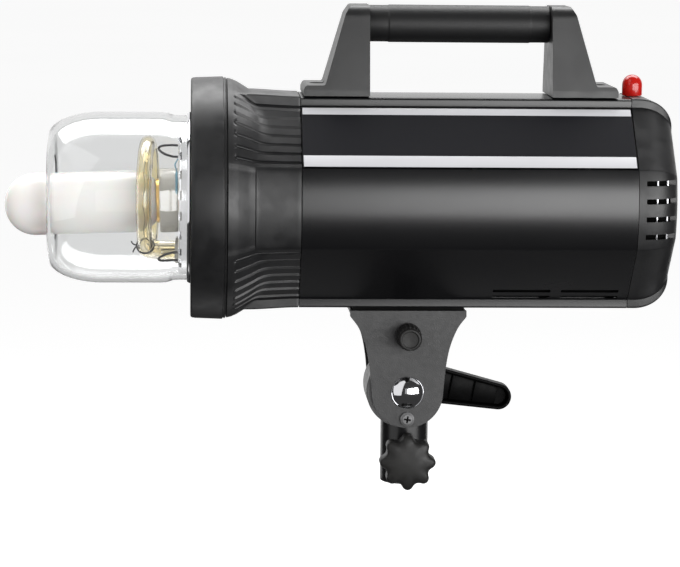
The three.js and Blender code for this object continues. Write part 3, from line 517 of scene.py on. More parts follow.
def build_upper_shell():
    seam = SIDE_LOW + GAP
    total = 81.1  # y + z on the sloped panel
    crown = [(y, HALF_HEIGHT - 0.5 * (y / RAIL_HALF) ** 2) for y in (0, 6, 12, 18, 23.6)]
    outer = crown + [
        (RAIL_HALF - 0.4, HALF_HEIGHT - 0.9),
        (RAIL_HALF, HALF_HEIGHT - 1.8),
        (RAIL_HALF, RAIL_FOOT + 0.3),
        (RAIL_HALF - 0.4, total - RAIL_HALF + 0.4),
        (total - seam, seam),
    ]
    inner = [(total - seam - 2.6, seam), (RAIL_HALF - 1.4, total - RAIL_HALF - 1.4), (RAIL_HALF - 2.2, 60.2)]
    half = outer + inner
    outline = [(y, z) for y, z in half] + [(-y, z) for y, z in reversed(half) if y > 0]
    # the inner line would cross the middle twice, so the outline is two joined strips
    strip = outer + [(total - seam - 2.6, seam), (RAIL_HALF - 2.6, 56.0), (RAIL_HALF - 2.6, 60.2), (0, 60.2)]
    points = strip + [(-y, z) for y, z in reversed(strip) if y > 0]
    shell = prism("upper_shell_skin", "x", lifted(points), SHELL_FRONT, SHELL_REAR)
    bevel(shell, 0.25, 2)
    finish_piece(shell, "head", M["paint"], ["upper_shell"], flat=True)


def cooling_slots():
    cutters = []
    low = E["lower_shell"].low
    for start in (49.0, 89.4):
        for z in (-51.3, -55.4):
            for side in (-1, 1):
                ends = sorted((side * 15, side * 47))
                half = 0.9
                outline = rounded(
                    [(start, z - half), (start + 34.2, z - half), (start + 34.2, z + half), (start, z + half)], 0.6
                )
                outline = [(x, AXIS_Z + v) for x, v in outline]
                cutters.append(prism("slot", "y", outline, ends[0], ends[1]))
    return cutters


def build_lower_shell():
    notch = 0.2  # a fine seam line where the bowed side meets the lower slope
    side = bowed_side(28)
    seam = [(side[-1][0], side[-1][1] + 0.3), (side[-1][0] - notch, side[-1][1]), (side[-1][0] - 0.2, side[-1][1] - 0.3)]
    outer = side[:-1] + seam + [
        (RAIL_HALF + 0.2, -RAIL_FOOT + 0.2),
        (RAIL_HALF, -RAIL_FOOT - 0.3),
        (RAIL_HALF, -HALF_HEIGHT + 0.9),
        (RAIL_HALF - 0.9, -HALF_HEIGHT),
    ]
    wall = 2.0
    inner = [(y - wall, z) for y, z in side]
    inner += [(RAIL_HALF - 0.8, -RAIL_FOOT + 2.4), (RAIL_HALF - 0.8, -HALF_HEIGHT + wall)]
    half = outer
    points = half + [(-y, z) for y, z in reversed(half)] + [(-y, z) for y, z in inner] + list(reversed(inner))
    shell = prism("lower_shell_skin", "x", lifted(points), SHELL_FRONT, SHELL_REAR)
    bevel(shell, 0.25, 2)
    carve(shell, cooling_slots())
    finish_piece(shell, "head", M["paint"], ["lower_shell"], flat=True)
    # near-black strips inside the shell behind the cooling slots: painted shade, so that the slots read as dark
    for name, side in (("near", -1), ("far", 1)):
        outline = [(side * y, z) for y, z in ((30.6, -47), (30.1, -47), (21.1, -56), (21.6, -56))]
        slot_shade = prism("slot_painted_shade_" + name, "x", lifted(outline), 45, 127)
        finish_piece(slot_shade, "head", M["painted_shade_black"])


def sloped_strip(name, side, high, low, lift, thick, x0, x1, edge=0.3):
    """A strip on the sloped label panel, between two heights above the axis."""
    face = 81.1
    base = face + lift * math.sqrt(2)
    top = base + thick * math.sqrt(2)
    outline = [(base - low, low), (top - low, low), (top - high, high), (base - high, high)]
    outline = rounded(outline, min(edge, thick * 0.6), 2)
    if side < 0:
        outline = [(-y, z) for y, z in outline]
    return prism(name, "x", lifted(outline), x0, x1)


def build_label_panels():
    for name, side in (("near", -1), ("far", 1)):
        x0, x1 = SHELL_FRONT + 0.6, SHELL_REAR - 0.6
        film = sloped_strip("label_film_" + name, side, 56.1, 24.2, 0.3, 0.5, x0, x1)
        finish_piece(film, "head", M["film"], ["nameplate_" + name], flat=True)
        for part, high, low in (("upper", 55.9, 52.3), ("lower", 30.3, 24.4)):
            stripe = sloped_strip("stripe_%s_%s" % (part, name), side, high, low, 0.8, 0.12, x0 + 0.3, x1 - 0.3)
            finish_piece(stripe, "head", M["stripe"])


# ---------------------------------------------------------------- front collar and mount ring

SLOPE_LENGTH = math.hypot(SIDE_HALF - RAIL_HALF, RAIL_FOOT - SIDE_LOW)
RIB_PITCH = 6.6
RIB_START, RIB_COUNT = 3.6, 7
GROOVE_DEPTH, GROOVE_HALF = 1.45, 1.2
COLLAR_FRONT, COLLAR_REAR = E["front_collar"].low.x, E["front_collar"].high.x
PAD_STEP = COLLAR_FRONT + 16.3


def smooth_step(value, start, end):
    t = min(1.0, max(0.0, (value - start) / (end - start)))
    return t * t * (3 - 2 * t)


def smooth_max(a, b, width):
    h = max(width - abs(a - b), 0) / width
    return max(a, b) + h * h * width / 4


def groove_at(s):
    """How deep the rib grooves are at a distance down the sloped panel."""
    nearest = min(abs(s - (RIB_START + i * RIB_PITCH)) for i in range(RIB_COUNT))
    return GROOVE_DEPTH * (1 - smooth_step(nearest, 0.25 * GROOVE_HALF, GROOVE_HALF))


def collar_directions():
    """Outline points with their zone: ('rail' | 'slope' | 'side', depth of groove)."""
    marks = {0.0, SLOPE_LENGTH}
    for i in range(RIB_COUNT):
        centre = RIB_START + i * RIB_PITCH
        for offset in (-1.15, -0.85, -0.55, -0.25, 0, 0.25, 0.55, 0.85, 1.15, 2.2, 3.3):
            if 0 < centre + offset < SLOPE_LENGTH:
                marks.add(centre + offset)
    down = sorted(marks)
    quarter = [((RAIL_HALF - 0.8) * t, HALF_HEIGHT, "rail", 0) for t in (0.0, 0.2, 0.4, 0.6, 0.8, 0.92, 1.0)]
    quarter.append((RAIL_HALF, HALF_HEIGHT - 0.8, "rail", 0))
    quarter += [(RAIL_HALF, HALF_HEIGHT - drop, "rail", 0) for drop in (1.4, 2.4, 3.4, 4.4, 5.1)]
    for s in down:
        t = s / SLOPE_LENGTH
        y = RAIL_HALF + (SIDE_HALF - RAIL_HALF) * t
        z = RAIL_FOOT + (SIDE_LOW - RAIL_FOOT) * t
        quarter.append((y, z, "slope", groove_at(s)))
    side = [(y, z, "side", 0) for y, z in bowed_side(28)][1:15]
    quarter += side
    lower = [(y, -z, zone, g) for y, z, zone, g in reversed(quarter[:-1])]
    right = quarter + lower
    left = [(-y, z, zone, g) for y, z, zone, g in reversed(right[1:-1])]
    return right + left


FUNNEL = [(0, 71.3), (3, 70.6), (6, 69.3), (9, 67.5), (14, 64.3), (18, 61.4), (27, 56), (43, 46)]


def funnel_radius(x):
    run = x - COLLAR_FRONT
    for (a, ra), (b, rb) in zip(FUNNEL, FUNNEL[1:]):
        if run <= b:
            return ra + (rb - ra) * (run - a) / (b - a)
    return FUNNEL[-1][1]


def collar_ring(x, directions, factor=1.0, detail=True):
    ring = []
    grow = 1.02 - 0.02 * smooth_step(x, COLLAR_FRONT + 12, COLLAR_REAR)
    for y, z, zone, groove in directions:
        reach = math.hypot(y, z)
        radius = smooth_max(funnel_radius(x), reach * grow, 2.2)
        if detail:
            fade = smooth_step(x, COLLAR_FRONT + 3.4, COLLAR_FRONT + 5.4)
            radius -= groove * fade
            if zone == "side":
                radius += 0.7 * smooth_step(x, PAD_STEP - 0.35, PAD_STEP + 0.1) - 0.5
                radius -= 0.2 * smooth_step(x, COLLAR_REAR - 1.0, COLLAR_REAR)
        radius *= factor
        ring.append((x, y / reach * radius, AXIS_Z + z / reach * radius))
    return ring


def build_collar():
    directions = collar_directions()
    places = [COLLAR_FRONT, COLLAR_FRONT + 0.3, COLLAR_FRONT + 0.8]
    x = COLLAR_FRONT + 1.6
    while x < COLLAR_REAR - 0.7:
        places.append(x)
        x += 0.55 if abs(x - PAD_STEP) < 1.4 or x < COLLAR_FRONT + 6 else 1.1
    places += [COLLAR_REAR - 0.25, COLLAR_REAR]
    rings = []
    for i, x in enumerate(places):
        shrink = 0.996 if i in (0, len(places) - 1) else 1.0
        rings.append(collar_ring(x, directions, shrink))
    for x in reversed(places[::4] + [places[-1]]):
        rings.append(collar_ring(x, directions, 0.955, detail=False))
    rings.append(rings[0])
    collar = skin("ribbed_collar", rings, False)
    slide = E["lock_slider"]
    slot = [(-101, AXIS_Z - 3.2), (-79, AXIS_Z - 3.2), (-79, AXIS_Z + 3.2), (-101, AXIS_Z + 3.2)]
    carve(collar, [prism("slot", "y", rounded(slot, 2), 50, slide.high.y + 4)])
    finish_piece(collar, "head", M["plastic"], ["front_collar"], math.radians(38))


def build_mount_ring():
    ring = E["mount_ring"]
    plate = E["bayonet_plate"]
    outer = ring.size.z / 2
    bore = plate.size.z / 2 + GAP
    front, rear = ring.low.x, ring.high.x
    profile = [
        (front, bore, 0.5),
        (front, outer - 1.0, 1.6),
        (front + 3, outer - 0.55, 0),
        (rear - 2.1, outer, 0.4),
        (rear - 1.7, outer - 0.7, 0.3),
        (rear - 1.0, outer - 0.7, 0.3),
        (rear - 0.8, outer - 0.2, 0.3),
        (rear, outer - 1.1, 0.5),
        (rear, 61, 0),
        (plate.high.x + GAP, 61, 0),
        (plate.high.x + GAP, bore, 0),
    ]
    body = turned("mount_ring_fine", "x", rounded(profile, 0.2), (0, 0, AXIS_Z), 160)
    finish_piece(body, "head", M["plastic"], ["mount_ring"])


def arc_slot(inner, outer, middle, spread_angle):
    outline = arc((0, 0), outer, middle - spread_angle / 2, middle + spread_angle / 2, 20)
    outline += arc((0, 0), inner, middle + spread_angle / 2, middle - spread_angle / 2, 20)
    return lifted(outline)


def build_bayonet():
    plate = E["bayonet_plate"]
    profile = [(plate.low.x, 51.5), (plate.low.x, 66.3), (plate.high.x, 66.3), (plate.high.x, 51.5)]
    disc = turned("bayonet_plate_fine", "x", rounded(profile, 0.3), (0, 0, AXIS_Z), 144)
    cutters = [prism("slot", "x", arc_slot(54, 62, a, 34), -125, -115) for a in (60, 180, 300)]
    pin = E["lock_pin"]
    cutters.append(rod("hole", "x", 2.75, -125, -115, (0, pin.mid.y, pin.mid.z), 32))
    carve(disc, cutters)
    finish_piece(disc, "head", M["dark_steel"], ["bayonet_plate"])
    tip = rod("lock_pin_fine", "x", pin.size.y / 2, pin.low.x, pin.high.x, (0, pin.mid.y, pin.mid.z), 32, 0.9)
    finish_piece(tip, "mount_lock", M["steel"], ["lock_pin"])
    low, high = E["lock_slider"].low, E["lock_slider"].high
    carrier = block("carrier", (-94.7, low.y, AXIS_Z - 2.8), (-88, high.y - 1, AXIS_Z + 2.8))
    ridges = []
    count = 7
    for i in range(count):
        x = low.x + (i + 0.5) * (high.x - low.x) / count
        lift = 0.6 * math.sin(math.pi * (i + 0.5) / count)
        outline = [(x - 0.62, high.y - 2.4), (x + 0.62, high.y - 2.4), (x + 0.45, high.y - 0.7 + lift), (x - 0.45, high.y - 0.7 + lift)]
        ridges.append(prism("ridge", "z", rounded(outline, 0.25, 2), low.z + 0.4, high.z - 0.4))
    base = block("thumb", (low.x, high.y - 3.2, low.z), (high.x, high.y - 1.4, high.z))
    bevel(base, 0.5, 3)
    slider = merge("lock_slider_fine", [carrier, base] + ridges)
    finish_piece(slider, "mount_lock", M["plastic"], ["lock_slider"], flat=True)


# ---------------------------------------------------------------- dome, lamp and flash tube


def build_pan():
    pan = E["reflector_pan"]
    front, back = pan.low.x, pan.high.x
    thick, radius, flange = 1.2, 45.6, pan.size.z / 2
    profile = [
        (front, 21.6),
        (front, radius, 1.6),
        (back - thick, radius, 0.3),
        (back - thick, flange),
        (back, flange),
        (back, radius - thick),
        (front + thick, radius - thick, 0.8),
        (front + thick, 21.6),
    ]
    dish = turned("reflector_pan_fine", "x", rounded(profile, 0.2), (0, 0, AXIS_Z), 144)
    cutters = []
    for socket in ("tube_socket_near", "tube_socket_far"):
        mid = E[socket].mid
        side = 1 if mid.y > 0 else -1
        cutters.append(rod("hole", "x", 7.4, front - 5, front + 5, (0, side * 7.8, AXIS_Z - 31.2), 40))
    for i in range(24):  # narrow cooling slots round the rim of the pan
        a = 360 * (i + 0.5) / 24
        outline = arc((0, 0), radius + 1, a - 3.2, a + 3.2, 4) + arc((0, 0), radius - 5.5, a + 3.2, a - 3.2, 4)
        if abs(math.sin(math.radians(a))) < 0.9:
            cutters.append(prism("slot", "x", lifted(outline), front - 2, front + 1.9))
    carve(dish, cutters)
    finish_piece(dish, "head", M["mirror"], ["reflector_pan"])
    # a near-black disc just behind the pan's rim slots: painted shade, so that the slots read as dark
    pan_shade = turned(
        "pan_painted_shade", "x", rounded([(front + 3.2, 21), (front + 3.2, 44), (front + 3.8, 44), (front + 3.8, 21)], 0.1),
        (0, 0, AXIS_Z), 64,
    )
    carve(pan_shade, [rod("hole", "x", 7.6, front - 5, front + 8, (0, s * 7.8, AXIS_Z - 31.2), 40) for s in (-1, 1)])
    finish_piece(pan_shade, "head", M["painted_shade_black"])


def build_dome():
    dome = E["glass_dome"]
    full = dome.size.z / 2
    front, rear = dome.low.x, dome.high.x
    wall, hole, neck = 2.2, 25.0, 49.0
    # shoulder: from the flat front face round to the full radius
    shoulder = []
    face = 36.9
    depth = 32.0
    for i in range(25):
        a = math.radians(90 * i / 24)
        shoulder.append((front + depth * (1 - math.cos(a)), face + (full - face) * math.sin(a)))
    outer = [(front, hole, 1.2)] + [(x, r, 0) for x, r in shoulder]
    tail = [(-147, full), (-143.6, full - 0.25), (-141, full - 1.0), (-139, neck + 0.15), (-136.5, neck), (rear, neck, 1)]
    outer += [(x, r, 0) if len(p) == 2 else p for p in tail for x, r in [p[:2]]]
    inner = [(rear, neck - wall, 1), (-137.5, neck - wall, 0), (-139.6, neck - wall + 0.2, 0), (-143.8, full - wall - 0.3, 0), (-147.4, full - wall, 0)]
    for i in range(24, -1, -1):
        a = math.radians(90 * i / 24)
        x = front + wall + (depth - wall) * (1 - math.cos(a))
        inner.append((x, face - 0.9 + (full - wall - face + 0.9) * math.sin(a), 0))
    inner.append((front + wall, hole, 1.2))
    body = turned("glass_dome_fine", "x", rounded(outer + inner, 0.4, 5), (0, 0, AXIS_Z), 160)
    finish_piece(body, "dome", M["glass"], ["glass_dome"], math.radians(60))


def build_dome_ring():
    ring = E["dome_ring"]
    outer = ring.size.z / 2
    front, rear = ring.low.x, ring.high.x
    profile = [
        (front, 49.4, 0.2),
        (front, outer - 0.9, 0.6),
        (front + 1.6, outer - 0.1, 0.4),
        (front + 2.3, outer - 0.8, 0.3),
        (front + 3.0, outer - 0.1, 0.4),
        (rear, outer, 0.3),
        (rear, 50.9, 0.1),
        (E["reflector_pan"].high.x - 1.5, 50.9, 0.1),
        (E["reflector_pan"].high.x - 1.5, 49.4, 0.1),
    ]
    body = turned("dome_ring_fine", "x", rounded(profile, 0.2), (0, 0, AXIS_Z), 160)
    finish_piece(body, "dome", M["chrome"], ["dome_ring"])


LAMP_BASE = Vector((-140.0, 0, AXIS_Z - 1.6))
LAMP_TURN = Matrix.Rotation(-math.radians(1.9), 4, "Y")


def on_lamp_axis(obj):
    """Turns a piece made along X about the lamp's base, so that it droops as the lamp does."""
    obj.data.transform(Matrix.Translation(LAMP_BASE * MM) @ LAMP_TURN @ Matrix.Translation(-LAMP_BASE * MM))
    return obj


def build_lamp():
    tip, radius = -239.4, 18.4
    centre = (0, 0, LAMP_BASE.z)
    outline = [(tip + radius - y, z) for y, z in arc((0, 0), radius, 0, 90, 24)]
    outline += [(-163, radius), (-160, radius - 0.25), (-156.5, 17.3), (-153, 15.6), (-150.6, 13.4), (-149.6, 12.4)]
    outline += [(-149.6, 0)]
    envelope = on_lamp_axis(turned("lamp_envelope_fine", "x", outline, centre, 112))
    finish_piece(envelope, "modelling_lamp", M["frosted"], ["lamp_envelope"], math.radians(60))
    cap = [(-149.3, 0), (-149.3, 13.1, 0.5)]
    for i in range(7):
        x = -147.0 + 3.2 * i
        cap += [(x, 13.1, 0), (x + 0.8, 12.5, 0), (x + 1.6, 13.1, 0)]
    cap += [(-126, 13, 1), (-122.5, 6, 1), (-121.5, 5, 0.4), (-121.5, 0)]
    screw = on_lamp_axis(turned("lamp_cap_fine", "x", rounded(cap, 0.2, 3, False), centre, 64))
    finish_piece(screw, "modelling_lamp", M["brass"], ["lamp_cap"])
    cup = [
        (-119, 0), (-119, 13.6, 0.4), (-147.4, 13.6, 0.8), (-147.4, 19, 1.4), (-138, 19, 0), (-137.4, 18.5, 0),
        (-136.8, 19, 0), (-112, 19, 1), (-112, 0),
    ]
    base = on_lamp_axis(turned("lamp_holder_fine", "x", rounded(cup, 0.3, 4, False), centre, 96))
    finish_piece(base, "head", M["ceramic"], ["lamp_holder"])


TUBE_X, TUBE_RING, TUBE_RADIUS, TUBE_LEAN, LEG_Y, LEG_END = -154.4, 32.3, 4.55, 2.2, 7.8, -134.0


def tube_path():
    """The flash tube's centre line: one leg, the leaning ring, and the other leg."""
    drop = -TUBE_RING * math.cos(math.asin(LEG_Y / TUBE_RING))
    legs = lambda side: [
        Vector((LEG_END, side * LEG_Y, AXIS_Z + drop)),
        Vector((-141, side * LEG_Y, AXIS_Z + drop)),
        Vector((-147, side * (LEG_Y + 0.1), AXIS_Z + drop)),
        Vector((-151.6, side * (LEG_Y + 1.8), AXIS_Z + drop + 0.4)),
    ]
    points = legs(1)
    for i in range(23):
        a = math.radians(26 + 308 * i / 22)
        y = TUBE_RING * math.sin(a)
        points.append(Vector((TUBE_X + TUBE_LEAN * y / TUBE_RING, y, AXIS_Z - TUBE_RING * math.cos(a))))
    points += list(reversed(legs(-1)))
    return smooth_path(points, 8)


def build_flash_tube():
    path = tube_path()
    outer = sweep("quartz_outer", path, TUBE_RADIUS, 28)
    bore = sweep("quartz_bore", path[3:-3], TUBE_RADIUS - 1.25, 20)
    bore.data.flip_normals()
    tube = merge("flash_tube_fine", [outer, bore])
    finish_piece(tube, "flash_tube", M["quartz"], ["flash_tube"], math.radians(60))
    for side, where in ((1, path[: 7 * 3]), (-1, path[-7 * 3 :])):
        name = "electrode_far" if side > 0 else "electrode_near"
        part = where[5:16] if side > 0 else where[-16:-5]
        electrode = sweep(name, part, 1.5, 14)
        finish_piece(electrode, "flash_tube", M["steel"])
    build_trigger_wire(path)


def build_trigger_wire(path):
    """A thin wire twisted round the tube near its lowest point, with two free ends."""
    angle = math.radians(324)
    y = TUBE_RING * math.sin(angle)
    centre = Vector((TUBE_X + TUBE_LEAN * y / TUBE_RING, y, AXIS_Z - TUBE_RING * math.cos(angle)))
    along = Vector((0.07, math.cos(angle), math.sin(angle))).normalized()
    out = Vector((-1, 0, 0)) - along * Vector((-1, 0, 0)).dot(along)
    out.normalize()
    up = along.cross(out)
    points = []
    turns = 2.0
    for i in range(int(36 * turns) + 1):
        a = 2 * math.pi * i / 36
        shift = (i / (36 * turns) - 0.5) * 1.5
        points.append(centre + (out * math.cos(a) + up * math.sin(a)) * (TUBE_RADIUS + 0.62) + along * shift)
    first = points[0] + out * 2.2 + up * 0.9
    last = points[-1] + out * 1.6 - up * 2.4
    whole_path = smooth_path([first + up * 1.6 + out * 0.8, first] + points[::3] + [last, last - up * 1.5 + out * 0.5], 3)
    wire = sweep("trigger_wire_fine", whole_path, 0.42, 10)
    finish_piece(wire, "flash_tube", M["dark_steel"], ["trigger_wire"])
    # the long trigger lead that runs round the ring
    lead = []
    for i in range(61):
        a = math.radians(30 + 300 * i / 60)
        yy = TUBE_RING * math.sin(a)
        inner = TUBE_RING - TUBE_RADIUS - 0.25
        x = TUBE_X + TUBE_LEAN * yy / TUBE_RING + 0.8 * math.sin(9 * a)
        lead.append((x, inner * math.sin(a), AXIS_Z - inner * math.cos(a)))
    strand = sweep("trigger_lead", smooth_path(lead, 2), 0.22, 8)
    finish_piece(strand, "flash_tube", M["dark_steel"])
    for side, name in ((-1, "tube_socket_near"), (1, "tube_socket_far")):
        box = E[name]
        y = side * 7.8
        profile = [(-139, 5.05, 0.4), (-139, 6.9, 0.7), (-126, 6.9, 0.3), (-126, 1, 0), (-133, 1, 0), (-133, 5.05, 0)]
        socket = turned(name + "_fine", "x", rounded(profile, 0.2), (0, y, AXIS_Z - 31.3), 48)
        reach = sorted((side * 0.15, side * 30))
        carve(socket, [block("half", (-150, reach[0], AXIS_Z - 60), (-110, reach[1], AXIS_Z))], "INTERSECT")
        finish_piece(socket, "head", M["ceramic"], [name])


def build_pan_fittings():
    """The wire springs that hold the dome, and the thermal sensor with its lead."""
    pan_front = E["reflector_pan"].low.x
    for number, degrees in ((1, 132), (2, 232), (3, 2)):
        a = math.radians(degrees)
        out = Vector((0, math.cos(a), math.sin(a)))
        across = Vector((0, -math.sin(a), math.cos(a)))
        shape = [
            (-0.3, 40, -4.5), (-5, 40.4, -4.3), (-9.5, 41.6, -2.6), (-11.5, 42.2, 0),
            (-9.5, 41.6, 2.6), (-5, 40.4, 4.3), (-0.3, 40, 4.5),
        ]
        points = [
            Vector((pan_front + x, 0, AXIS_Z)) + out * r + across * s for x, r, s in shape
        ]
        clip = sweep("dome_spring_%d" % number, smooth_path(points, 6), 0.7, 12)
        finish_piece(clip, "head", M["dark_steel"], ["dome_clip_%d" % number])
    sensor = E["thermal_sensor"]
    mid = sensor.mid
    path = [(mid.x, mid.y, sensor.low.z + 0.9), (mid.x, mid.y, mid.z), (mid.x, mid.y, sensor.high.z - 0.9)]
    sleeve = sweep("thermal_sensor_fine", smooth_path(path, 6), [0.5] + [0.9] * 11 + [0.5], 16)
    lead = sweep("sensor_lead", smooth_path([(mid.x, mid.y, sensor.high.z - 1), (mid.x - 1, mid.y + 1, sensor.high.z + 3), (pan_front - 0.2, mid.y + 4, sensor.high.z + 6)], 8), 0.4, 10)
    finish_piece(sleeve, "head", M["sleeve"], ["thermal_sensor"])
    finish_piece(lead, "head", M["sleeve"])


# ---------------------------------------------------------------- rear cap and controls

CAP_FRONT, CAP_REAR = E["rear_cap"].low.x, E["rear_cap"].high.x
CAP_FLARE = CAP_FRONT + 4
CAP_INSET = 18.0
PANEL_SCALE = 0.7


def cap_outline(detail=14):
    """The cap's outline: as the housing's, with softer corners."""
    half = [(RAIL_HALF, HALF_HEIGHT, 1.2), (RAIL_HALF, RAIL_FOOT, 0.8)]
    side = bowed_side(detail)
    half += [(y, z, 2.0 if i in (0, detail) else 0.0) for i, (y, z) in enumerate(side)]
    half += [(RAIL_HALF, -RAIL_FOOT, 0.8), (RAIL_HALF, -HALF_HEIGHT, 1.2)]
    full = half + [(-p[0], p[1], p[2]) for p in reversed(half)]
    return rounded(full, 0.5, 4)


def cap_rings(offset=0.0, deepest=87, start=None, steps=22):
    outline = cap_outline()
    rings = []
    first = CAP_FRONT if start is None else start
    places = [(first, 0.0), (CAP_FLARE - 2, 0.0)]
    reach = CAP_REAR - CAP_FLARE
    for i in range(steps + 1):
        a = math.radians(deepest * i / steps)
        places.append((CAP_FLARE + (reach - offset) * math.sin(a), CAP_INSET * (1 - math.cos(a))))
    for x, inset in places:
        factor = 1 - (inset + offset) / HALF_HEIGHT
        rings.append([(x, y * factor, AXIS_Z + z * factor) for y, z in outline])
    return rings


def rear_openings():
    cutters = []
    depth = (146, 160)
    round_holes = [("power_dial", 3.8), ("fuse_cap", 5.2), ("sync_jack", 4.3)]
    round_holes += [(name, 4.6) for name in BUTTONS]
    for node, radius in round_holes:
        mid = E[node].mid
        cutters.append(rod("hole", "x", radius, depth[0], depth[1], (0, mid.y, mid.z), 40))
    for node, spare in (("display_window", 0.35), ("power_inlet", 0.35)):
        e = E[node]
        cutters.append(block("hole", (depth[0], e.low.y - spare, e.low.z - spare), (depth[1], e.high.y + spare, e.high.z + spare)))
    e = E["power_switch"]
    cutters.append(block("hole", (depth[0], e.low.y - 1, e.low.z - 1.2), (depth[1], e.high.y + 1, e.high.z + 1.2)))
    return cutters


BUTTONS = ["mode_button", "model_lamp_button", "sound_button", "test_button"]
VENT_HEIGHTS = (-15.6, -5.2, 5.2, 15.6)


def build_rear_cap():
    outside = skin("rear_cap_fine", cap_rings())
    inside = skin("hollow", cap_rings(2.6, 78, CAP_FRONT - 1, 12))
    cutters = [inside]
    panel_front = E["control_panel"].low.x - GAP
    recess = [(y * (PANEL_SCALE + 0.006), z * (PANEL_SCALE + 0.006)) for y, z in cap_outline()]
    cutters.append(prism("recess", "x", lifted(recess), panel_front, 160))
    for z in VENT_HEIGHTS:
        for side in (-1, 1):
            ends = sorted((side * 50, side * 70))
            outline = [(134.3, z - 1.5), (158, z - 1.5), (158, z + 1.5), (134.3, z + 1.5)]
            outline = rounded([(x, AXIS_Z + v) for x, v in outline], 0.5, 3)
            cutters.append(prism("vent", "y", outline, ends[0], ends[1]))
    sensor = E["sensor_dome"].mid
    cutters.append(rod("hole", "z", 2.7, AXIS_Z + 50, AXIS_Z + 70, (sensor.x, 0, 0), 32))
    carve(outside, cutters + rear_openings())
    finish_piece(outside, "head", M["plastic"], ["rear_cap"], math.radians(30))
    for side in (-1, 1):
        for x in (141.6, 147.4):
            low = (x - 0.5, min(side * 52.6, side * 54.6), AXIS_Z - 19)
            high = (x + 0.5, max(side * 52.6, side * 54.6), AXIS_Z + 19)
            rib = block("vent_rib_%s_%d" % ("far" if side > 0 else "near", round(x)), low, high)
            bevel(rib, 0.2, 2)
            finish_piece(rib, "head", M["steel"])
        # near-black sheets inside the cap behind the side vents: painted shade, so that the vents read as dark
        vent_shade_y = sorted((side * 47.5, side * 48.0))
        vent_shade = block("vent_painted_shade_" + ("far" if side > 0 else "near"), (134, vent_shade_y[0], AXIS_Z - 20), (149.5, vent_shade_y[1], AXIS_Z + 20))
        finish_piece(vent_shade, "head", M["painted_shade_black"])


def build_control_panel():
    e = E["control_panel"]
    outline = [(y * PANEL_SCALE, z * PANEL_SCALE) for y, z in cap_outline()]
    plate = prism("control_panel_fine", "x", lifted(outline), e.low.x, e.high.x)
    carve(plate, rear_openings())
    bevel(plate, 0.25, 2, 40)
    finish_piece(plate, "head", M["film"], ["control_panel"], flat=True)
    face = e.high.x
    dial = E["power_dial"].mid
    ticks = []
    for i in range(11):
        a = math.radians(-135 + 27 * i)
        long_tick = i % 5 == 0
        inner, outer = 12.6, 14.8 if long_tick else 14.0
        half = 0.32 if long_tick else 0.22
        across = Vector((0, math.cos(a), -math.sin(a)))
        out = Vector((0, math.sin(a), math.cos(a)))
        centre = Vector((0, dial.y, dial.z))
        outline = []
        for r, s in ((inner, -half), (outer, -half), (outer, half), (inner, half)):
            p = centre + out * r + across * s
            outline.append((p.y, p.z))
        ticks.append(prism("tick", "x", outline, face + 0.02, face + 0.12))
    for node in BUTTONS:
        mid = E[node].mid
        lines = [(face + 0.02, 5.2, 0), (face + 0.12, 5.2, 0), (face + 0.12, 5.5, 0), (face + 0.02, 5.5, 0)]
        ticks.append(turned("ring", "x", [(a, r) for a, r, _ in lines], (0, mid.y, mid.z), 40))
    marks = merge("panel_marks", ticks)
    finish_piece(marks, "head", M["mark"])


SEGMENTS = {"8": "abcdefg", "5": "acdfg", "0": "abcdef"}


def seven_segment(digit, y, z, height, face):
    """A digit for the power display, made of straight bars. It reads from behind the head."""
    half_w, half_h, thick = height * 0.26, height * 0.5, height * 0.055
    spans = {
        "a": ((-half_w, half_h), (half_w, half_h)),
        "g": ((-half_w, 0), (half_w, 0)),
        "d": ((-half_w, -half_h), (half_w, -half_h)),
        "f": ((-half_w, 0), (-half_w, half_h)),
        "b": ((half_w, 0), (half_w, half_h)),
        "e": ((-half_w, -half_h), (-half_w, 0)),
        "c": ((half_w, -half_h), (half_w, 0)),
    }
    bars = []
    for key in SEGMENTS[digit]:
        (u0, v0), (u1, v1) = spans[key]
        if u0 == u1:
            low, high = (u0 - thick, v0 + 1.6 * thick), (u0 + thick, v1 - 1.6 * thick)
        else:
            low, high = (u0 + 1.6 * thick, v0 - thick), (u1 - 1.6 * thick, v0 + thick)
        bars.append(block("bar", (face, y + low[0], z + low[1]), (face + 0.08, y + high[0], z + high[1])))
    return bars


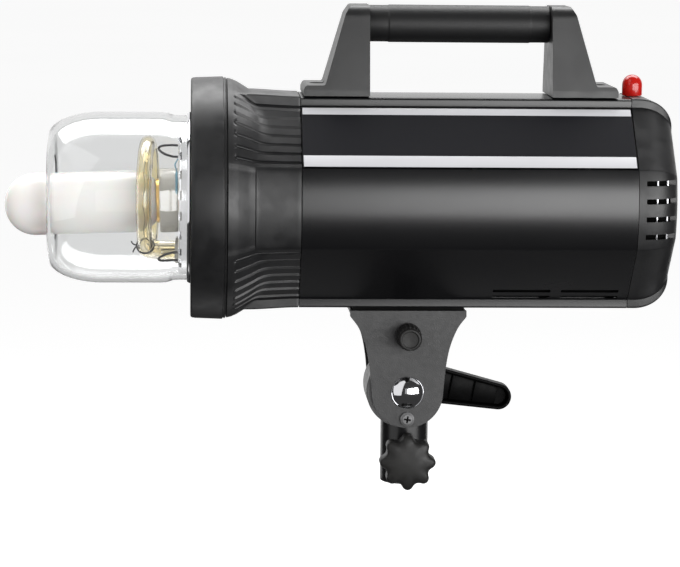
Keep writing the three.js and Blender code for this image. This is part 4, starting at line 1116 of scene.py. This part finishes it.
def build_rear_parts():
    e = E["display_window"]
    window = block("display_window_fine", e.low, e.high)
    bevel(window, 0.5, 3)
    finish_piece(window, "head", M["smoked"], ["display_window"], flat=True)
    digits = []
    for i, digit in enumerate("50"):
        digits += seven_segment(digit, e.mid.y - 4.5 + 9 * i, e.mid.z, 9.5, e.high.x)
    finish_piece(merge("display_digits", digits), "head", M["segment"])

    e = E["power_inlet"]
    shape = [
        (e.low.y, e.low.z, 0.6), (e.high.y, e.low.z, 0.6), (e.high.y, e.high.z, 0.6), (e.low.y, e.high.z, 0.6),
    ]
    body = prism("power_inlet_fine", "x", rounded(shape, 0.6), e.low.x, e.high.x)
    well = [
        (e.mid.y - 11.8, e.mid.z - 7.6, 1.2), (e.mid.y + 11.8, e.mid.z - 7.6, 1.2),
        (e.mid.y + 11.8, e.mid.z + 3.4, 1.0), (e.mid.y + 7.6, e.mid.z + 7.6, 1.0),
        (e.mid.y - 7.6, e.mid.z + 7.6, 1.0), (e.mid.y - 11.8, e.mid.z + 3.4, 1.0),
    ]
    carve(body, [prism("well", "x", rounded(well, 1, 4), 140, 160)])
    bevel(body, 0.4, 2, 40)
    finish_piece(body, "head", M["plastic"], ["power_inlet"], flat=True)
    for number, (y, z) in enumerate(((-7, -1.5), (0, 2.5), (7, -1.5)), 1):
        blade = block("inlet_pin_%d" % number, (139, e.mid.y + y - 1, e.mid.z + z - 2), (151.4, e.mid.y + y + 1, e.mid.z + z + 2))
        bevel(blade, 0.4, 2)
        finish_piece(blade, "head", M["steel"])

    e = E["sync_jack"]
    jack = [(e.low.x, 1.85, 0), (e.high.x, 1.85, 0.3), (e.high.x, 3.9, 0.4), (e.high.x - 1.3, 3.9, 0.2), (e.high.x - 1.6, 4.0, 0), (e.low.x, 4.0, 0)]
    barrel = turned("sync_jack_fine", "x", rounded(jack, 0.1, 3), (0, e.mid.y, e.mid.z), 56)
    finish_piece(barrel, "head", M["steel"], ["sync_jack"])

    for node in BUTTONS:
        e = E[node]
        profile = [(e.low.x, 0), (e.low.x, 4.2, 0.2), (e.high.x, 4.2, 0.7), (e.high.x, 3.0, 0.4), (e.high.x - 0.35, 1.4, 0.6), (e.high.x - 0.4, 0)]
        cap = turned(node + "_fine", "x", rounded(profile, 0.2, 4, False), (0, e.mid.y, e.mid.z), 48)
        finish_piece(cap, node, M["button"], [node])

    build_dial()
    build_switch()

    e = E["fuse_cap"]
    profile = [(e.low.x, 0), (e.low.x, 4.8, 0.3), (e.high.x - 1.6, 4.8, 0), (e.high.x, 4.5, 0.7), (e.high.x, 0)]
    fuse = turned("fuse_cap_fine", "x", rounded(profile, 0.2, 4, False), (0, e.mid.y, e.mid.z), 56)
    slot = block("slot", (e.high.x - 1.2, e.mid.y - 3.6, e.mid.z - 0.6), (e.high.x + 1, e.mid.y + 3.6, e.mid.z + 0.6))
    carve(fuse, [slot])
    finish_piece(fuse, "fuse_cap", M["plastic"], ["fuse_cap"])

    sensor = E["sensor_dome"]
    seat = TOP_Z + GAP
    radius = sensor.size.x / 2
    shoulder = sensor.high.z - radius
    profile = [(sensor.low.z, 0), (sensor.low.z, 2.4), (seat, 2.4), (seat, radius - 0.2), (seat + 0.5, radius)]
    profile += [(shoulder + radius * math.sin(math.radians(a)), radius * math.cos(math.radians(a))) for a in range(0, 88, 5)]
    profile.append((sensor.high.z, 0))
    lens = turned("sensor_dome_fine", "z", profile, (sensor.mid.x, 0, 0), 64)
    finish_piece(lens, "head", M["red"], ["sensor_dome"], math.radians(60))


def build_dial():
    e = E["power_dial"]
    rings = []
    centre = (e.mid.y, e.mid.z)
    seat, face = 155.4, e.high.x
    sides = 180
    stations = [
        (e.low.x, 0.0, 0), (e.low.x, 3.0, 0), (seat, 3.0, 0), (seat, 10.6, 0), (seat + 0.3, 10.95, 0),
        (seat + 0.6, 10.95, 0), (seat + 0.9, 10.6, 1), (face - 1.2, 10.2, 1), (face - 0.9, 10.1, 0),
        (face - 0.4, 9.6, 0), (face - 0.1, 8.8, 0), (face, 7.8, 0), (face - 0.2, 7.2, 0), (face - 0.45, 6.4, 0),
        (face - 0.5, 0.0, 0),
    ]
    for x, radius, knurl in stations:
        ring = []
        for i in range(sides):
            a = 2 * math.pi * i / sides
            r = radius * (1 + 0.028 * knurl * math.cos(30 * a)) if radius else 0.0001
            ring.append((x, centre[0] + r * math.cos(a), centre[1] + r * math.sin(a)))
        rings.append(ring)
    knob = skin("power_dial_fine", rings)
    finish_piece(knob, "power_dial", M["knob"], ["power_dial"])
    pointer = block(
        "dial_pointer", (face - 0.3, centre[0] - 0.45, centre[1] + 4.4), (face, centre[0] + 0.45, centre[1] + 8.6)
    )
    finish_piece(pointer, "power_dial", M["mark"])


def build_switch():
    e = E["power_switch"]
    mid = e.mid
    outline = [(148, mid.z - 7.6, 0.3), (155.5, mid.z - 7.6, 0.6)]
    for i in range(1, 9):
        t = i / 9
        x = 155.5 + 2.1 * t - 1.5 * math.sin(math.pi * t) * 0.9
        outline.append((x, mid.z - 7.6 + 15.2 * t, 0))
    outline += [(157.6, mid.z + 7.6, 0.7), (148, mid.z + 7.6, 0.3)]
    rocker = prism("power_switch_fine", "y", rounded(outline, 0.2, 4), e.low.y, e.high.y)
    bevel(rocker, 0.4, 3, 40)
    finish_piece(rocker, "power_switch", M["plastic"], ["power_switch"], flat=True)
    frame_outer = [(mid.y - 6.2, mid.z - 9.3), (mid.y + 6.2, mid.z - 9.3), (mid.y + 6.2, mid.z + 9.3), (mid.y - 6.2, mid.z + 9.3)]
    frame_piece = prism("switch_frame", "x", rounded(frame_outer, 0.8), 150, 155.9)
    carve(frame_piece, [block("hole", (149, mid.y - 5.75, mid.z - 8.75), (160, mid.y + 5.75, mid.z + 8.75))])
    bevel(frame_piece, 0.2, 2, 40)
    finish_piece(frame_piece, "head", M["plastic"])


# ---------------------------------------------------------------- handle


def build_post(name, way):
    e = E[name]
    inner = e.high.x if way < 0 else e.low.x
    low, top = e.low.z, e.high.z
    foot = AXIS_Z + 68.8

    def x(distance):
        return inner + way * distance

    outline = [
        (x(0), low, 0.4), (x(0), top, 0.5), (x(11.2), top, 2.2), (x(14.4), top - 5.2, 3.0),
        (x(26.2), foot, 1.6), (x(37.6), foot, 3.0), (x(39), low + 3.5, 1.5), (x(39), low, 0.6),
    ]
    body = prism(name + "_fine", "y", rounded(outline, 0.5, 5), e.low.y, e.high.y)
    half, shoulder, shoulder_r = e.size.y / 2, 17.6, 8.0
    side = [(half, low - 1), (half, low + 4)]
    side += arc((shoulder - shoulder_r, top - shoulder_r), shoulder_r, 4, 90, 10)
    taper = side + [(-y, z) for y, z in reversed(side)]
    span = sorted((x(-1), x(40)))
    carve(body, [prism("taper", "x", taper, span[0], span[1])], "INTERSECT")
    ends = sorted((x(-1), x(6)))
    screw_x = x(30)
    cutters = [
        rod("socket", "x", 6.3, ends[0], ends[1], (0, 0, E["handle_grip"].mid.z), 48),
        rod("hole", "z", 2.2, low - 2, low + 8, (screw_x, 0, 0), 24),
        rod("pocket", "z", 4.6, foot - 3.8, foot + 12, (screw_x, 0, 0), 48),
    ]
    carve(body, cutters)
    bevel(body, 0.9, 3, 40)
    finish_piece(body, "head", M["post"], [name], flat=True)
    tag = "front" if way < 0 else "rear"
    head = rod("handle_screw_" + tag, "z", 3.4, foot - 3.7, foot - 1.2, (screw_x, 0, 0), 40, 0.7)
    corners = [math.radians(60 * i) for i in range(6)]
    hexagon = [(screw_x + 1.5 * math.cos(a), 1.5 * math.sin(a)) for a in corners]
    carve(head, [prism("hex", "z", hexagon, foot - 2.6, foot)])
    finish_piece(head, "head", M["dark_steel"])


def build_grip():
    e = E["handle_grip"]
    posts = (E["handle_front_post"].high.x + GAP, E["handle_rear_post"].low.x - GAP)
    radius = e.size.z / 2
    profile = [(e.low.x, 0), (e.low.x, 5.9, 0.3), (posts[0], 5.9, 0), (posts[0], radius - 0.3, 0.5), (posts[0] + 10, radius - 0.3, 0)]
    start, end = posts[0] + 12, posts[1] - 12
    profile += [(start - 1, radius - 0.3, 0.3), (start, radius, 0.5)]
    profile += [(end, radius, 0.5), (end + 1, radius - 0.3, 0.3)]
    profile += [(posts[1] - 10, radius - 0.3, 0), (posts[1], radius - 0.3, 0.5), (posts[1], 5.9, 0), (e.high.x, 5.9, 0.3), (e.high.x, 0)]
    bar = turned("handle_grip_fine", "x", rounded(profile, 0.2, 4, False), (0, 0, e.mid.z), 96)
    finish_piece(bar, "head", M["rubber"], ["handle_grip"])


# ---------------------------------------------------------------- bracket and stand adapter


def cheek_outline():
    """The cheek: wide at the top, waisted, and round about the pivot. From the pivot, as (x, z)."""
    edge = [(49.1, 34.5), (45.6, 34.5), (38.6, 29.4), (28.1, 25.2), (16.6, 22.9), (4, 21.6)]
    right = [(half, z) for z, half in edge]
    spline = smooth_path([(x, 0, z) for x, z in right[1:]], 5)
    right = [right[0]] + [(p.x, p.z) for p in spline]
    bottom = arc((0, 0), 21.3, -4, -176, 40)
    left = [(-x, z) for x, z in reversed(right)]
    return [(x, z + PIVOT_Z) for x, z in right + bottom + left]


def build_bracket():
    e = E["tilt_bracket"]
    outer = e.size.y / 2
    inner = outer - 4
    plates = []
    for side in (-1, 1):
        ends = sorted((side * inner, side * outer))
        cheek = prism("cheek", "y", cheek_outline(), ends[0], ends[1])
        plates.append(cheek)
    top = block("top", (e.low.x + 0.3, -inner - 1, e.high.z - 3), (e.high.x - 0.3, inner + 1, e.high.z - 0.05))
    body = plates[0]
    carve(body, [plates[1], top], "UNION")
    knob, screw = E["umbrella_knob"].mid, E["cheek_screw"].mid
    cutters = [
        rod("hole", "y", 4.3, -30, 30, (0, 0, PIVOT_Z), 40),
        rod("hole", "y", 3.4, -30, -10, (knob.x, 0, knob.z), 32),
        rod("hole", "y", 2.3, -30, -10, (screw.x, 0, screw.z), 24),
    ]
    cutters += [rod("hole", "z", 2.9, e.high.z - 10, e.high.z + 10, (x, 0, 0), 24) for x in (-22, 22)]
    carve(body, cutters)
    bevel(body, 0.6, 3, 40)
    body.name = "tilt_bracket_fine"
    finish_piece(body, "head", M["cast"], ["tilt_bracket"], flat=True)
    # the pad is dark rubber, and its near-black, almost gloss-free finish is also painted shade for the recess it sits
    # in
    pad = E["bracket_pad"]
    strip = block("bracket_pad_fine", pad.low + Vector((0, 1.5, 0)), pad.high - Vector((0, 1.5, 0)))
    bevel(strip, 0.3, 2)
    finish_piece(strip, "head", M["painted_shade_black"], ["bracket_pad"], flat=True)
    for name in ("bracket_screw_front", "bracket_screw_rear"):
        s = E[name]
        profile = [(s.low.z, 0), (s.low.z, 3.6, 0.8), (s.low.z + 1.4, 4.6, 0.4), (PIVOT_Z + 45.8, 4.6, 0.2), (PIVOT_Z + 45.8, 2.5, 0), (s.high.z, 2.5, 0.4), (s.high.z, 0)]
        screw_piece = turned(name + "_fine", "z", rounded(profile, 0.2, 3, False), (s.mid.x, 0, 0), 40)
        cross = [block("cross", (s.mid.x - 2.4, -0.5, s.low.z - 1), (s.mid.x + 2.4, 0.5, s.low.z + 1.5)), block("cross", (s.mid.x - 0.5, -2.4, s.low.z - 1), (s.mid.x + 0.5, 2.4, s.low.z + 1.5))]
        carve(screw_piece, cross)
        finish_piece(screw_piece, "head", M["steel"], [name])
    b = E["umbrella_block"]
    cube = block("umbrella_block_fine", b.low, b.high)
    carve(cube, [rod("shaft", "x", 4.3, -40, 40, (0, 0, b.mid.z), 48), rod("thread", "y", 3.4, -30, -2, (0, 0, b.mid.z), 32)])
    bevel(cube, 0.7, 3, 40)
    finish_piece(cube, "head", M["cast"], ["umbrella_block"], flat=True)


def build_bracket_fittings():
    bolt = E["pivot_bolt"]
    seat = E["tilt_bracket"].low.y - GAP
    radius = bolt.size.x / 2
    high = seat - bolt.low.y
    ball = (radius**2 + high**2) / (2 * high)
    edge_angle = math.degrees(math.asin(radius / ball))
    profile = [(bolt.high.y, 0), (bolt.high.y, 3.6, 0.4), (bolt.high.y - 0.6, 4.0, 0), (seat, 4.0, 0), (seat, radius - 0.3, 0.2), (seat - 0.5, radius, 0.2)]
    for i in range(15):
        a = math.radians(edge_angle * (1 - i / 15) * 0.985)
        profile.append((seat - high + ball - ball * math.cos(a), ball * math.sin(a), 0))
    profile.append((seat - high, 0))
    head = turned("pivot_bolt_fine", "y", rounded(profile, 0.1, 3, False), (0, 0, PIVOT_Z), 80)
    finish_piece(head, "head", M["chrome"], ["pivot_bolt"])

    s = E["cheek_screw"]
    face = s.low.y
    profile = [(s.high.y, 0), (s.high.y, 2.0, 0), (face + 2.3, 2.0, 0), (face + 2.3, 4.2, 0.2), (face + 1.0, 4.2, 0.3), (face + 0.5, 3.3, 0.2), (face, 2.9, 0.5), (face, 0)]
    head = turned("cheek_screw_fine", "y", rounded(profile, 0.1, 4, False), (s.mid.x, 0, s.mid.z), 56)
    cross = []
    for turn in (0, 90):
        bar = block("cross", (-2.1, face - 1, -0.55), (2.1, face + 1.8, 0.55))
        bar.data.transform(Matrix.Rotation(math.radians(turn + 8), 4, "Y"))
        bar.data.transform(Matrix.Translation(Vector((s.mid.x, 0, s.mid.z)) * MM))
        cross.append(bar)
    carve(head, cross)
    finish_piece(head, "head", M["screw"], ["cheek_screw"])
    # a near-black disc inside the head at the bottom of the cross recess: painted shade in the recess
    shadow = rod("cheek_screw_painted_shade", "y", 2.4, face + 1.0, face + 1.7, (s.mid.x, 0, s.mid.z), 24)
    finish_piece(shadow, "head", M["painted_shade_black"])

    k = E["umbrella_knob"]
    far, near = k.high.y, k.low.y
    big, small = k.size.x / 2, 6.6
    profile = [(far, 3.2, 0), (far, big, 0.8), (far - 2.2, big, 0.3), (far - 2.6, big - 0.5, 0.2), (near + 1.2, small + 0.1, 0.4), (near, small - 0.5, 0.8), (near, 5.0, 0.4), (near + 0.7, 4.7, 0.3), (near + 0.7, 0)]
    profile = [(near + 0.7, 0)] + [p for p in reversed(profile[:-1])] + [(near + 6, 3.2, 0), (near + 6, 0)]
    knob = turned("umbrella_knob_fine", "y", rounded(profile, 0.1, 4, False), (k.mid.x, 0, k.mid.z), 72)
    finish_piece(knob, "umbrella_knob", M["knob"], ["umbrella_knob"])
    grooves = []
    for i in range(20):
        a = 2 * math.pi * i / 20
        for y0, y1, r in ((near + 2.4, far - 3.2, 6.95),):
            p0 = (k.mid.x + (r - 0.15) * math.cos(a), y0, k.mid.z + (r - 0.15) * math.sin(a))
            p1 = (k.mid.x + (r + 0.3) * math.cos(a), y1, k.mid.z + (r + 0.3) * math.sin(a))
            grooves.append(sweep("rib", [p0, p1], 0.45, 8))
    finish_piece(merge("umbrella_knob_ribs", grooves), "umbrella_knob", M["knob"])
    stud = E["umbrella_knob_stud"]
    threaded_rod("umbrella_knob_stud_fine", stud, 2.9, "umbrella_knob")
    stand_stud = E["stand_knob_stud"]
    threaded_rod("stand_knob_stud_fine", stand_stud, 3.75, "stand_knob")


def threaded_rod(name, e, radius, body):
    """A stud along Y with shallow thread grooves."""
    profile = [(e.low.y, 0), (e.low.y, radius, 0)]
    y = e.low.y + 1
    while y < e.high.y - 1.5:
        profile += [(y, radius, 0), (y + 0.4, radius - 0.35, 0), (y + 0.8, radius, 0)]
        y += 1.0
    profile += [(e.high.y - 0.4, radius - 0.1, 0), (e.high.y, radius - 0.8, 0), (e.high.y, 0)]
    stud = turned(name, "y", [(a, r) for a, r, *_ in [p if len(p) == 3 else (*p, 0) for p in profile]], (e.mid.x, 0, e.mid.z), 40)
    finish_piece(stud, body, M["steel"], [name[: -len("_fine")]])


LEVER_ANGLE = -10.8


def build_lever():
    e = E["tilt_lever"]
    near, far = e.low.y, e.high.y
    hub_r, tip_r, length = 13.0, 8.0, 61.0
    lean = math.degrees(math.asin((hub_r - tip_r) / length))

    def capsule(shrink, start=0.0):
        points = arc((start, 0), hub_r - shrink, 90 - lean, 270 + lean, 36) if start == 0 else []
        if start:
            slope = (hub_r - tip_r) / length
            half = hub_r - shrink - slope * start
            points = [(start, half, 1.5), (start, -half, 1.5)]
        points += arc((length, 0), tip_r - shrink, 270 + lean, 450 - lean, 24)
        return points

    body = prism("tilt_lever_fine", "y", [p[:2] for p in capsule(0)], near, far)
    relief = block("relief", (hub_r + 1, near - 1, -20), (80, near + 4.4, 20))
    hole = rod("hole", "y", 7.4, near - 1, far - 3, (0, 0, 0), 48)
    pocket = prism("pocket", "y", rounded(capsule(2.2, 17.0), 0, 4), near - 1, near + 10.5)
    carve(body, [relief, hole, pocket])
    bevel(body, 0.9, 3, 35)
    facets = []
    for x0, x1, deep in ((17.5, 30.5, 1.9), (31.2, 45.0, 1.2), (45.7, 60.0, 0.7)):
        slope = (hub_r - tip_r) / length
        points = []
        for x in (x0, x1):
            half = hub_r - 2.6 - slope * x
            points += [(x, half), (x, -half)]
        base = near + 10.4
        low_face = base - deep - 1.6
        top = [(points[0][0], low_face, points[0][1]), (points[1][0], low_face, points[1][1]), (points[3][0], base - deep, points[3][1]), (points[2][0], base - deep, points[2][1])]
        bottom = [(p[0], base + 0.3, p[2]) for p in top]
        faces = [(0, 1, 2, 3), (7, 6, 5, 4), (0, 4, 5, 1), (1, 5, 6, 2), (2, 6, 7, 3), (3, 7, 4, 0)]
        facet = mesh_object("facet", top + bottom, faces)
        bevel(facet, 0.5, 2)
        facets.append(facet)
    pad = merge("tilt_lever_facets", facets)
    turn = Matrix.Rotation(-math.radians(LEVER_ANGLE), 4, "Y")
    for piece in (body, pad):
        piece.data.transform(turn)
        piece.data.transform(Matrix.Translation(Vector((0, 0, PIVOT_Z)) * MM))
    finish_piece(body, "tilt_lever", M["lever"], ["tilt_lever"], flat=True)
    finish_piece(pad, "tilt_lever", M["lever"])
    h = E["lever_hub"]
    hexagon = [(7 * math.cos(math.radians(60 * i)), PIVOT_Z + 7 * math.sin(math.radians(60 * i))) for i in range(6)]
    nut = prism("lever_hub_fine", "y", hexagon, h.low.y, h.high.y)
    carve(nut, [rod("hole", "y", 4.3, h.low.y - 1, E["pivot_bolt"].high.y + 0.4, (0, 0, PIVOT_Z), 40)])
    bevel(nut, 0.4, 2, 40)
    finish_piece(nut, "tilt_lever", M["steel"], ["lever_hub"], flat=True)


def build_stand_adapter():
    e = E["stand_adapter"]
    bore, radius = 8.1, 14.3
    bottom = e.low.z
    knuckle_r, knuckle_half = e.high.x, 17.0
    profile = [
        (-knuckle_half, 4.3, 0), (-knuckle_half, knuckle_r - 0.9, 0), (-knuckle_half + 0.9, knuckle_r, 0),
        (knuckle_half - 0.9, knuckle_r, 0), (knuckle_half, knuckle_r - 0.9, 0), (knuckle_half, 4.3, 0),
    ]
    knuckle = turned("stand_knuckle", "y", [(a, r) for a, r, _ in profile], (0, 0, PIVOT_Z), 128)
    bulge = e.low.x + knuckle_r  # the casting bulges towards the front
    solid = [(-knuckle_half, 0), *[(a, r) for a, r, _ in profile[1:5]], (knuckle_half, 0)]
    carve(knuckle, [turned("bulge", "y", solid, (bulge, 0, PIVOT_Z), 128)], "UNION")
    carve(knuckle, [rod("pivot", "y", 4.3, -30, 30, (0, 0, PIVOT_Z), 40)])
    carve(knuckle, [rod("cut", "z", radius + 0.02, bottom - 5, 12, (0, 0, 0), 96)])
    finish_piece(knuckle, "stand", M["knuckle"], ["stand_adapter"])
    stem_profile = [(bottom, 8.1, 0.8), (bottom, radius, 1.4), (bottom + 3.2, radius, 0), (bottom + 3.4, radius - 0.35, 0), (bottom + 3.8, radius - 0.35, 0), (bottom + 4.0, radius, 0), (12, radius, 0), (12, 0, 0), (0, 0, 0), (0, 8.1, 0)]
    outline = rounded([(0, 0, 0), (0, bore, 0)] + stem_profile[:7] + [(12, 0, 0)], 0.2, 4, False)
    stem = turned("stand_stem", "z", outline, (0, 0, 0), 112)
    knob_z = E["stand_knob"].mid.z
    boss = rod("boss", "y", 8.4, e.low.y, -10, (0, 0, knob_z), 64, 0.6)
    carve(stem, [boss], "UNION")
    carve(stem, [rod("bore", "z", bore, bottom - 2, -0.02, (0, 0, 0), 96), rod("thread", "y", 4.2, e.low.y - 2, -2, (0, 0, knob_z), 40)])
    carve(stem, [rod("pivot", "y", 4.3, -30, 30, (0, 0, PIVOT_Z), 40)])
    finish_piece(stem, "stand", M["paint"])
    for name in ("friction_disc_near", "friction_disc_far"):
        d = E[name]
        outline = [(d.low.y, 4.3), (d.low.y, d.size.x / 2), (d.high.y, d.size.x / 2), (d.high.y, 4.3)]
        disc = turned(name + "_fine", "y", rounded(outline, 0.2, 3), (0, 0, PIVOT_Z), 96)
        finish_piece(disc, "stand", M["knuckle"], [name])


def build_stand_knob():
    e = E["stand_knob"]
    centre_z = e.mid.z
    big = e.size.x / 2
    lobes, sides = 8, 240
    hub_end = e.high.y
    near, far = e.low.y, E["stand_knob"].low.y + 14

    def radius_at(a, share):
        swing = math.cos(lobes * a)
        lobe = math.copysign(abs(swing) ** 0.8, swing)
        outer = 15.1 + 1.55 * lobe
        return outer * share

    stations = [(near, 0.001), (near + 0.12, 0.25), (near + 0.45, 0.5), (near + 0.95, 0.72), (near + 1.5, 0.86), (near + 2.3, 0.945), (near + 3.2, 0.985), (near + 4.6, 1.0), (far - 1.2, 1.0), (far - 0.5, 0.985), (far, 0.95), (far, 0.6)]
    rings = []
    for y, share in stations:
        lobing = smooth_step(share, 0.55, 0.98)
        ring = []
        for i in range(sides):
            a = 2 * math.pi * i / sides
            full = radius_at(a, share)
            plain = 15.1 * share
            r = plain + (full - plain) * lobing
            ring.append((r * math.cos(a), y, centre_z + r * math.sin(a)))
        rings.append(ring)
    for y, r in ((far, 8.0), (hub_end, 7.8), (hub_end, 4.2), (near + 5, 4.2)):
        rings.append([(r * math.cos(2 * math.pi * i / sides), y, centre_z + r * math.sin(2 * math.pi * i / sides)) for i in range(sides)])
    knob = skin("stand_knob_fine", rings)
    finish_piece(knob, "stand_knob", M["knob"], ["stand_knob"])


def build_inside():
    """The parts inside the housing, seen through the vents and with covers off."""
    looks = {
        "capacitor_near": M["sleeve_dark"], "capacitor_far": M["sleeve_dark"], "main_board": M["board"],
        "fan_frame": M["plastic"], "fan_rotor": M["plastic"],
    }
    for name, mat in looks.items():
        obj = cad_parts[name]
        obj.data.materials.clear()
        obj.data.materials.append(mat)
        soften = obj.modifiers.new("bevel", "BEVEL")
        soften.width = 0.5 * MM
        soften.segments = 2
        soften.limit_method = "ANGLE"
        soften.angle_limit = math.radians(40)


# ---------------------------------------------------------------- floor, light and camera


def build_stage():
    floor_z = -0.55
    size = 80.0
    mesh = bpy.data.meshes.new("floor")
    mesh.from_pydata([(-size, -size, floor_z), (size, -size, floor_z), (size, size, floor_z), (-size, size, floor_z)], [], [(0, 1, 2, 3)])
    floor = bpy.data.objects.new("floor", mesh)
    bpy.context.scene.collection.objects.link(floor)
    pale = material("pale_floor", (0.95, 0.95, 0.95), 0.9, 0, Specular_IOR_Level=0.0)
    shader_of(pale).inputs["Emission Color"].default_value = (1, 1, 1, 1)
    shader_of(pale).inputs["Emission Strength"].default_value = 0.8
    vary_color(pale, 0.6, (0.44, 0.44, 0.44), (0.46, 0.46, 0.46))
    mesh.materials.append(pale)
    floor.visible_glossy = False
    floor.visible_diffuse = False
    floor.visible_transmission = False


def area_light(name, place, target, size, power, color=(1, 1, 1)):
    data = bpy.data.lights.new(name, "AREA")
    data.shape = "RECTANGLE"
    data.size, data.size_y = size
    data.energy = power
    data.color = color
    lamp = bpy.data.objects.new(name, data)
    lamp.location = place
    lamp.rotation_euler = (Vector(target) - Vector(place)).to_track_quat("-Z", "Y").to_euler()
    lamp.visible_camera = False
    bpy.context.scene.collection.objects.link(lamp)
    return lamp


def build_lights():
    build_world()
    middle = (0, 0, AXIS_Z * MM)
    area_light("overhead_box", (0.0, 0.74, 1.5), (0, 0.3, 0), (2.4, 1.0), 50)
    area_light("front_box", (0.99, -1.5, 0.18), middle, (2.2, 0.95), 47)
    area_light("front_fill", (-0.12, -1.75, 0.18), middle, (0.5, 0.9), 0.6)
    area_light("left_box", (-1.28, -0.86, 0.75), middle, (1.8, 3.2), 18)
    area_light("under_strip", (0.06, 0.09, -0.2), (0.06, 0.09, 1), (0.7, 0.12), 0.17)
    backdrop = area_light("backdrop_light", (0.0, 2.6, 0.6), middle, (6.0, 3.0), 56)
    backdrop.visible_transmission = False


# How bright the white surroundings are as fill, in reflections, and through glass.
WORLD_SEEN, WORLD_FILL, WORLD_FLAGS, WORLD_THROUGH = 1.15, 0.34, 0.05, 0.74


def build_world():
    """White to the eye and through glass, softer as fill, and dim in reflections, as behind black flags."""
    world = bpy.data.worlds.new("studio")
    world.use_nodes = True
    tree = world.node_tree
    fill = tree.nodes["Background"]
    fill.inputs["Color"].default_value = (1, 1, 1, 1)
    ray = tree.nodes.new("ShaderNodeLightPath")
    strength = None
    for kind, amount in (
        ("Is Diffuse Ray", WORLD_FILL),
        ("Is Glossy Ray", WORLD_FLAGS),
        ("Is Transmission Ray", WORLD_THROUGH),
    ):
        mix = tree.nodes.new("ShaderNodeMix")
        mix.inputs["A"].default_value = WORLD_SEEN
        mix.inputs["B"].default_value = amount
        tree.links.new(ray.outputs[kind], mix.inputs["Factor"])
        if strength:
            tree.links.new(strength, mix.inputs["A"])
        strength = mix.outputs["Result"]
    tree.links.new(strength, fill.inputs["Strength"])
    bpy.context.scene.world = world


def build_camera():
    data = bpy.data.cameras.new("camera")
    data.lens = 151.9
    data.sensor_width = 36
    data.clip_start, data.clip_end = 0.05, 60
    camera = bpy.data.objects.new("camera", data)
    camera.location = (-0.1326, -1.7, AXIS_Z * MM + 0.181)
    heading = Matrix.Rotation(math.radians(-3.13), 4, "Z")
    pitch = Matrix.Rotation(math.radians(90 - 7.77), 4, "X")
    roll = Matrix.Rotation(math.radians(CAMERA_ROLL), 4, "Z")
    camera.rotation_euler = (heading @ pitch @ roll).to_euler()
    bpy.context.scene.collection.objects.link(camera)
    bpy.context.scene.camera = camera


CAMERA_ROLL = 0.6


def build_all():
    build_upper_shell()
    build_lower_shell()
    build_label_panels()
    build_collar()
    build_mount_ring()
    build_bayonet()
    build_pan()
    build_dome()
    build_dome_ring()
    build_lamp()
    build_flash_tube()
    build_pan_fittings()
    build_rear_cap()
    build_control_panel()
    build_rear_parts()
    build_post("handle_front_post", -1)
    build_post("handle_rear_post", 1)
    build_grip()
    build_bracket()
    build_bracket_fittings()
    build_lever()
    build_stand_adapter()
    build_stand_knob()
    build_inside()
    build_stage()
    build_lights()
    build_camera()


bpy.context.scene.view_settings.view_transform = "Standard"
build_all()
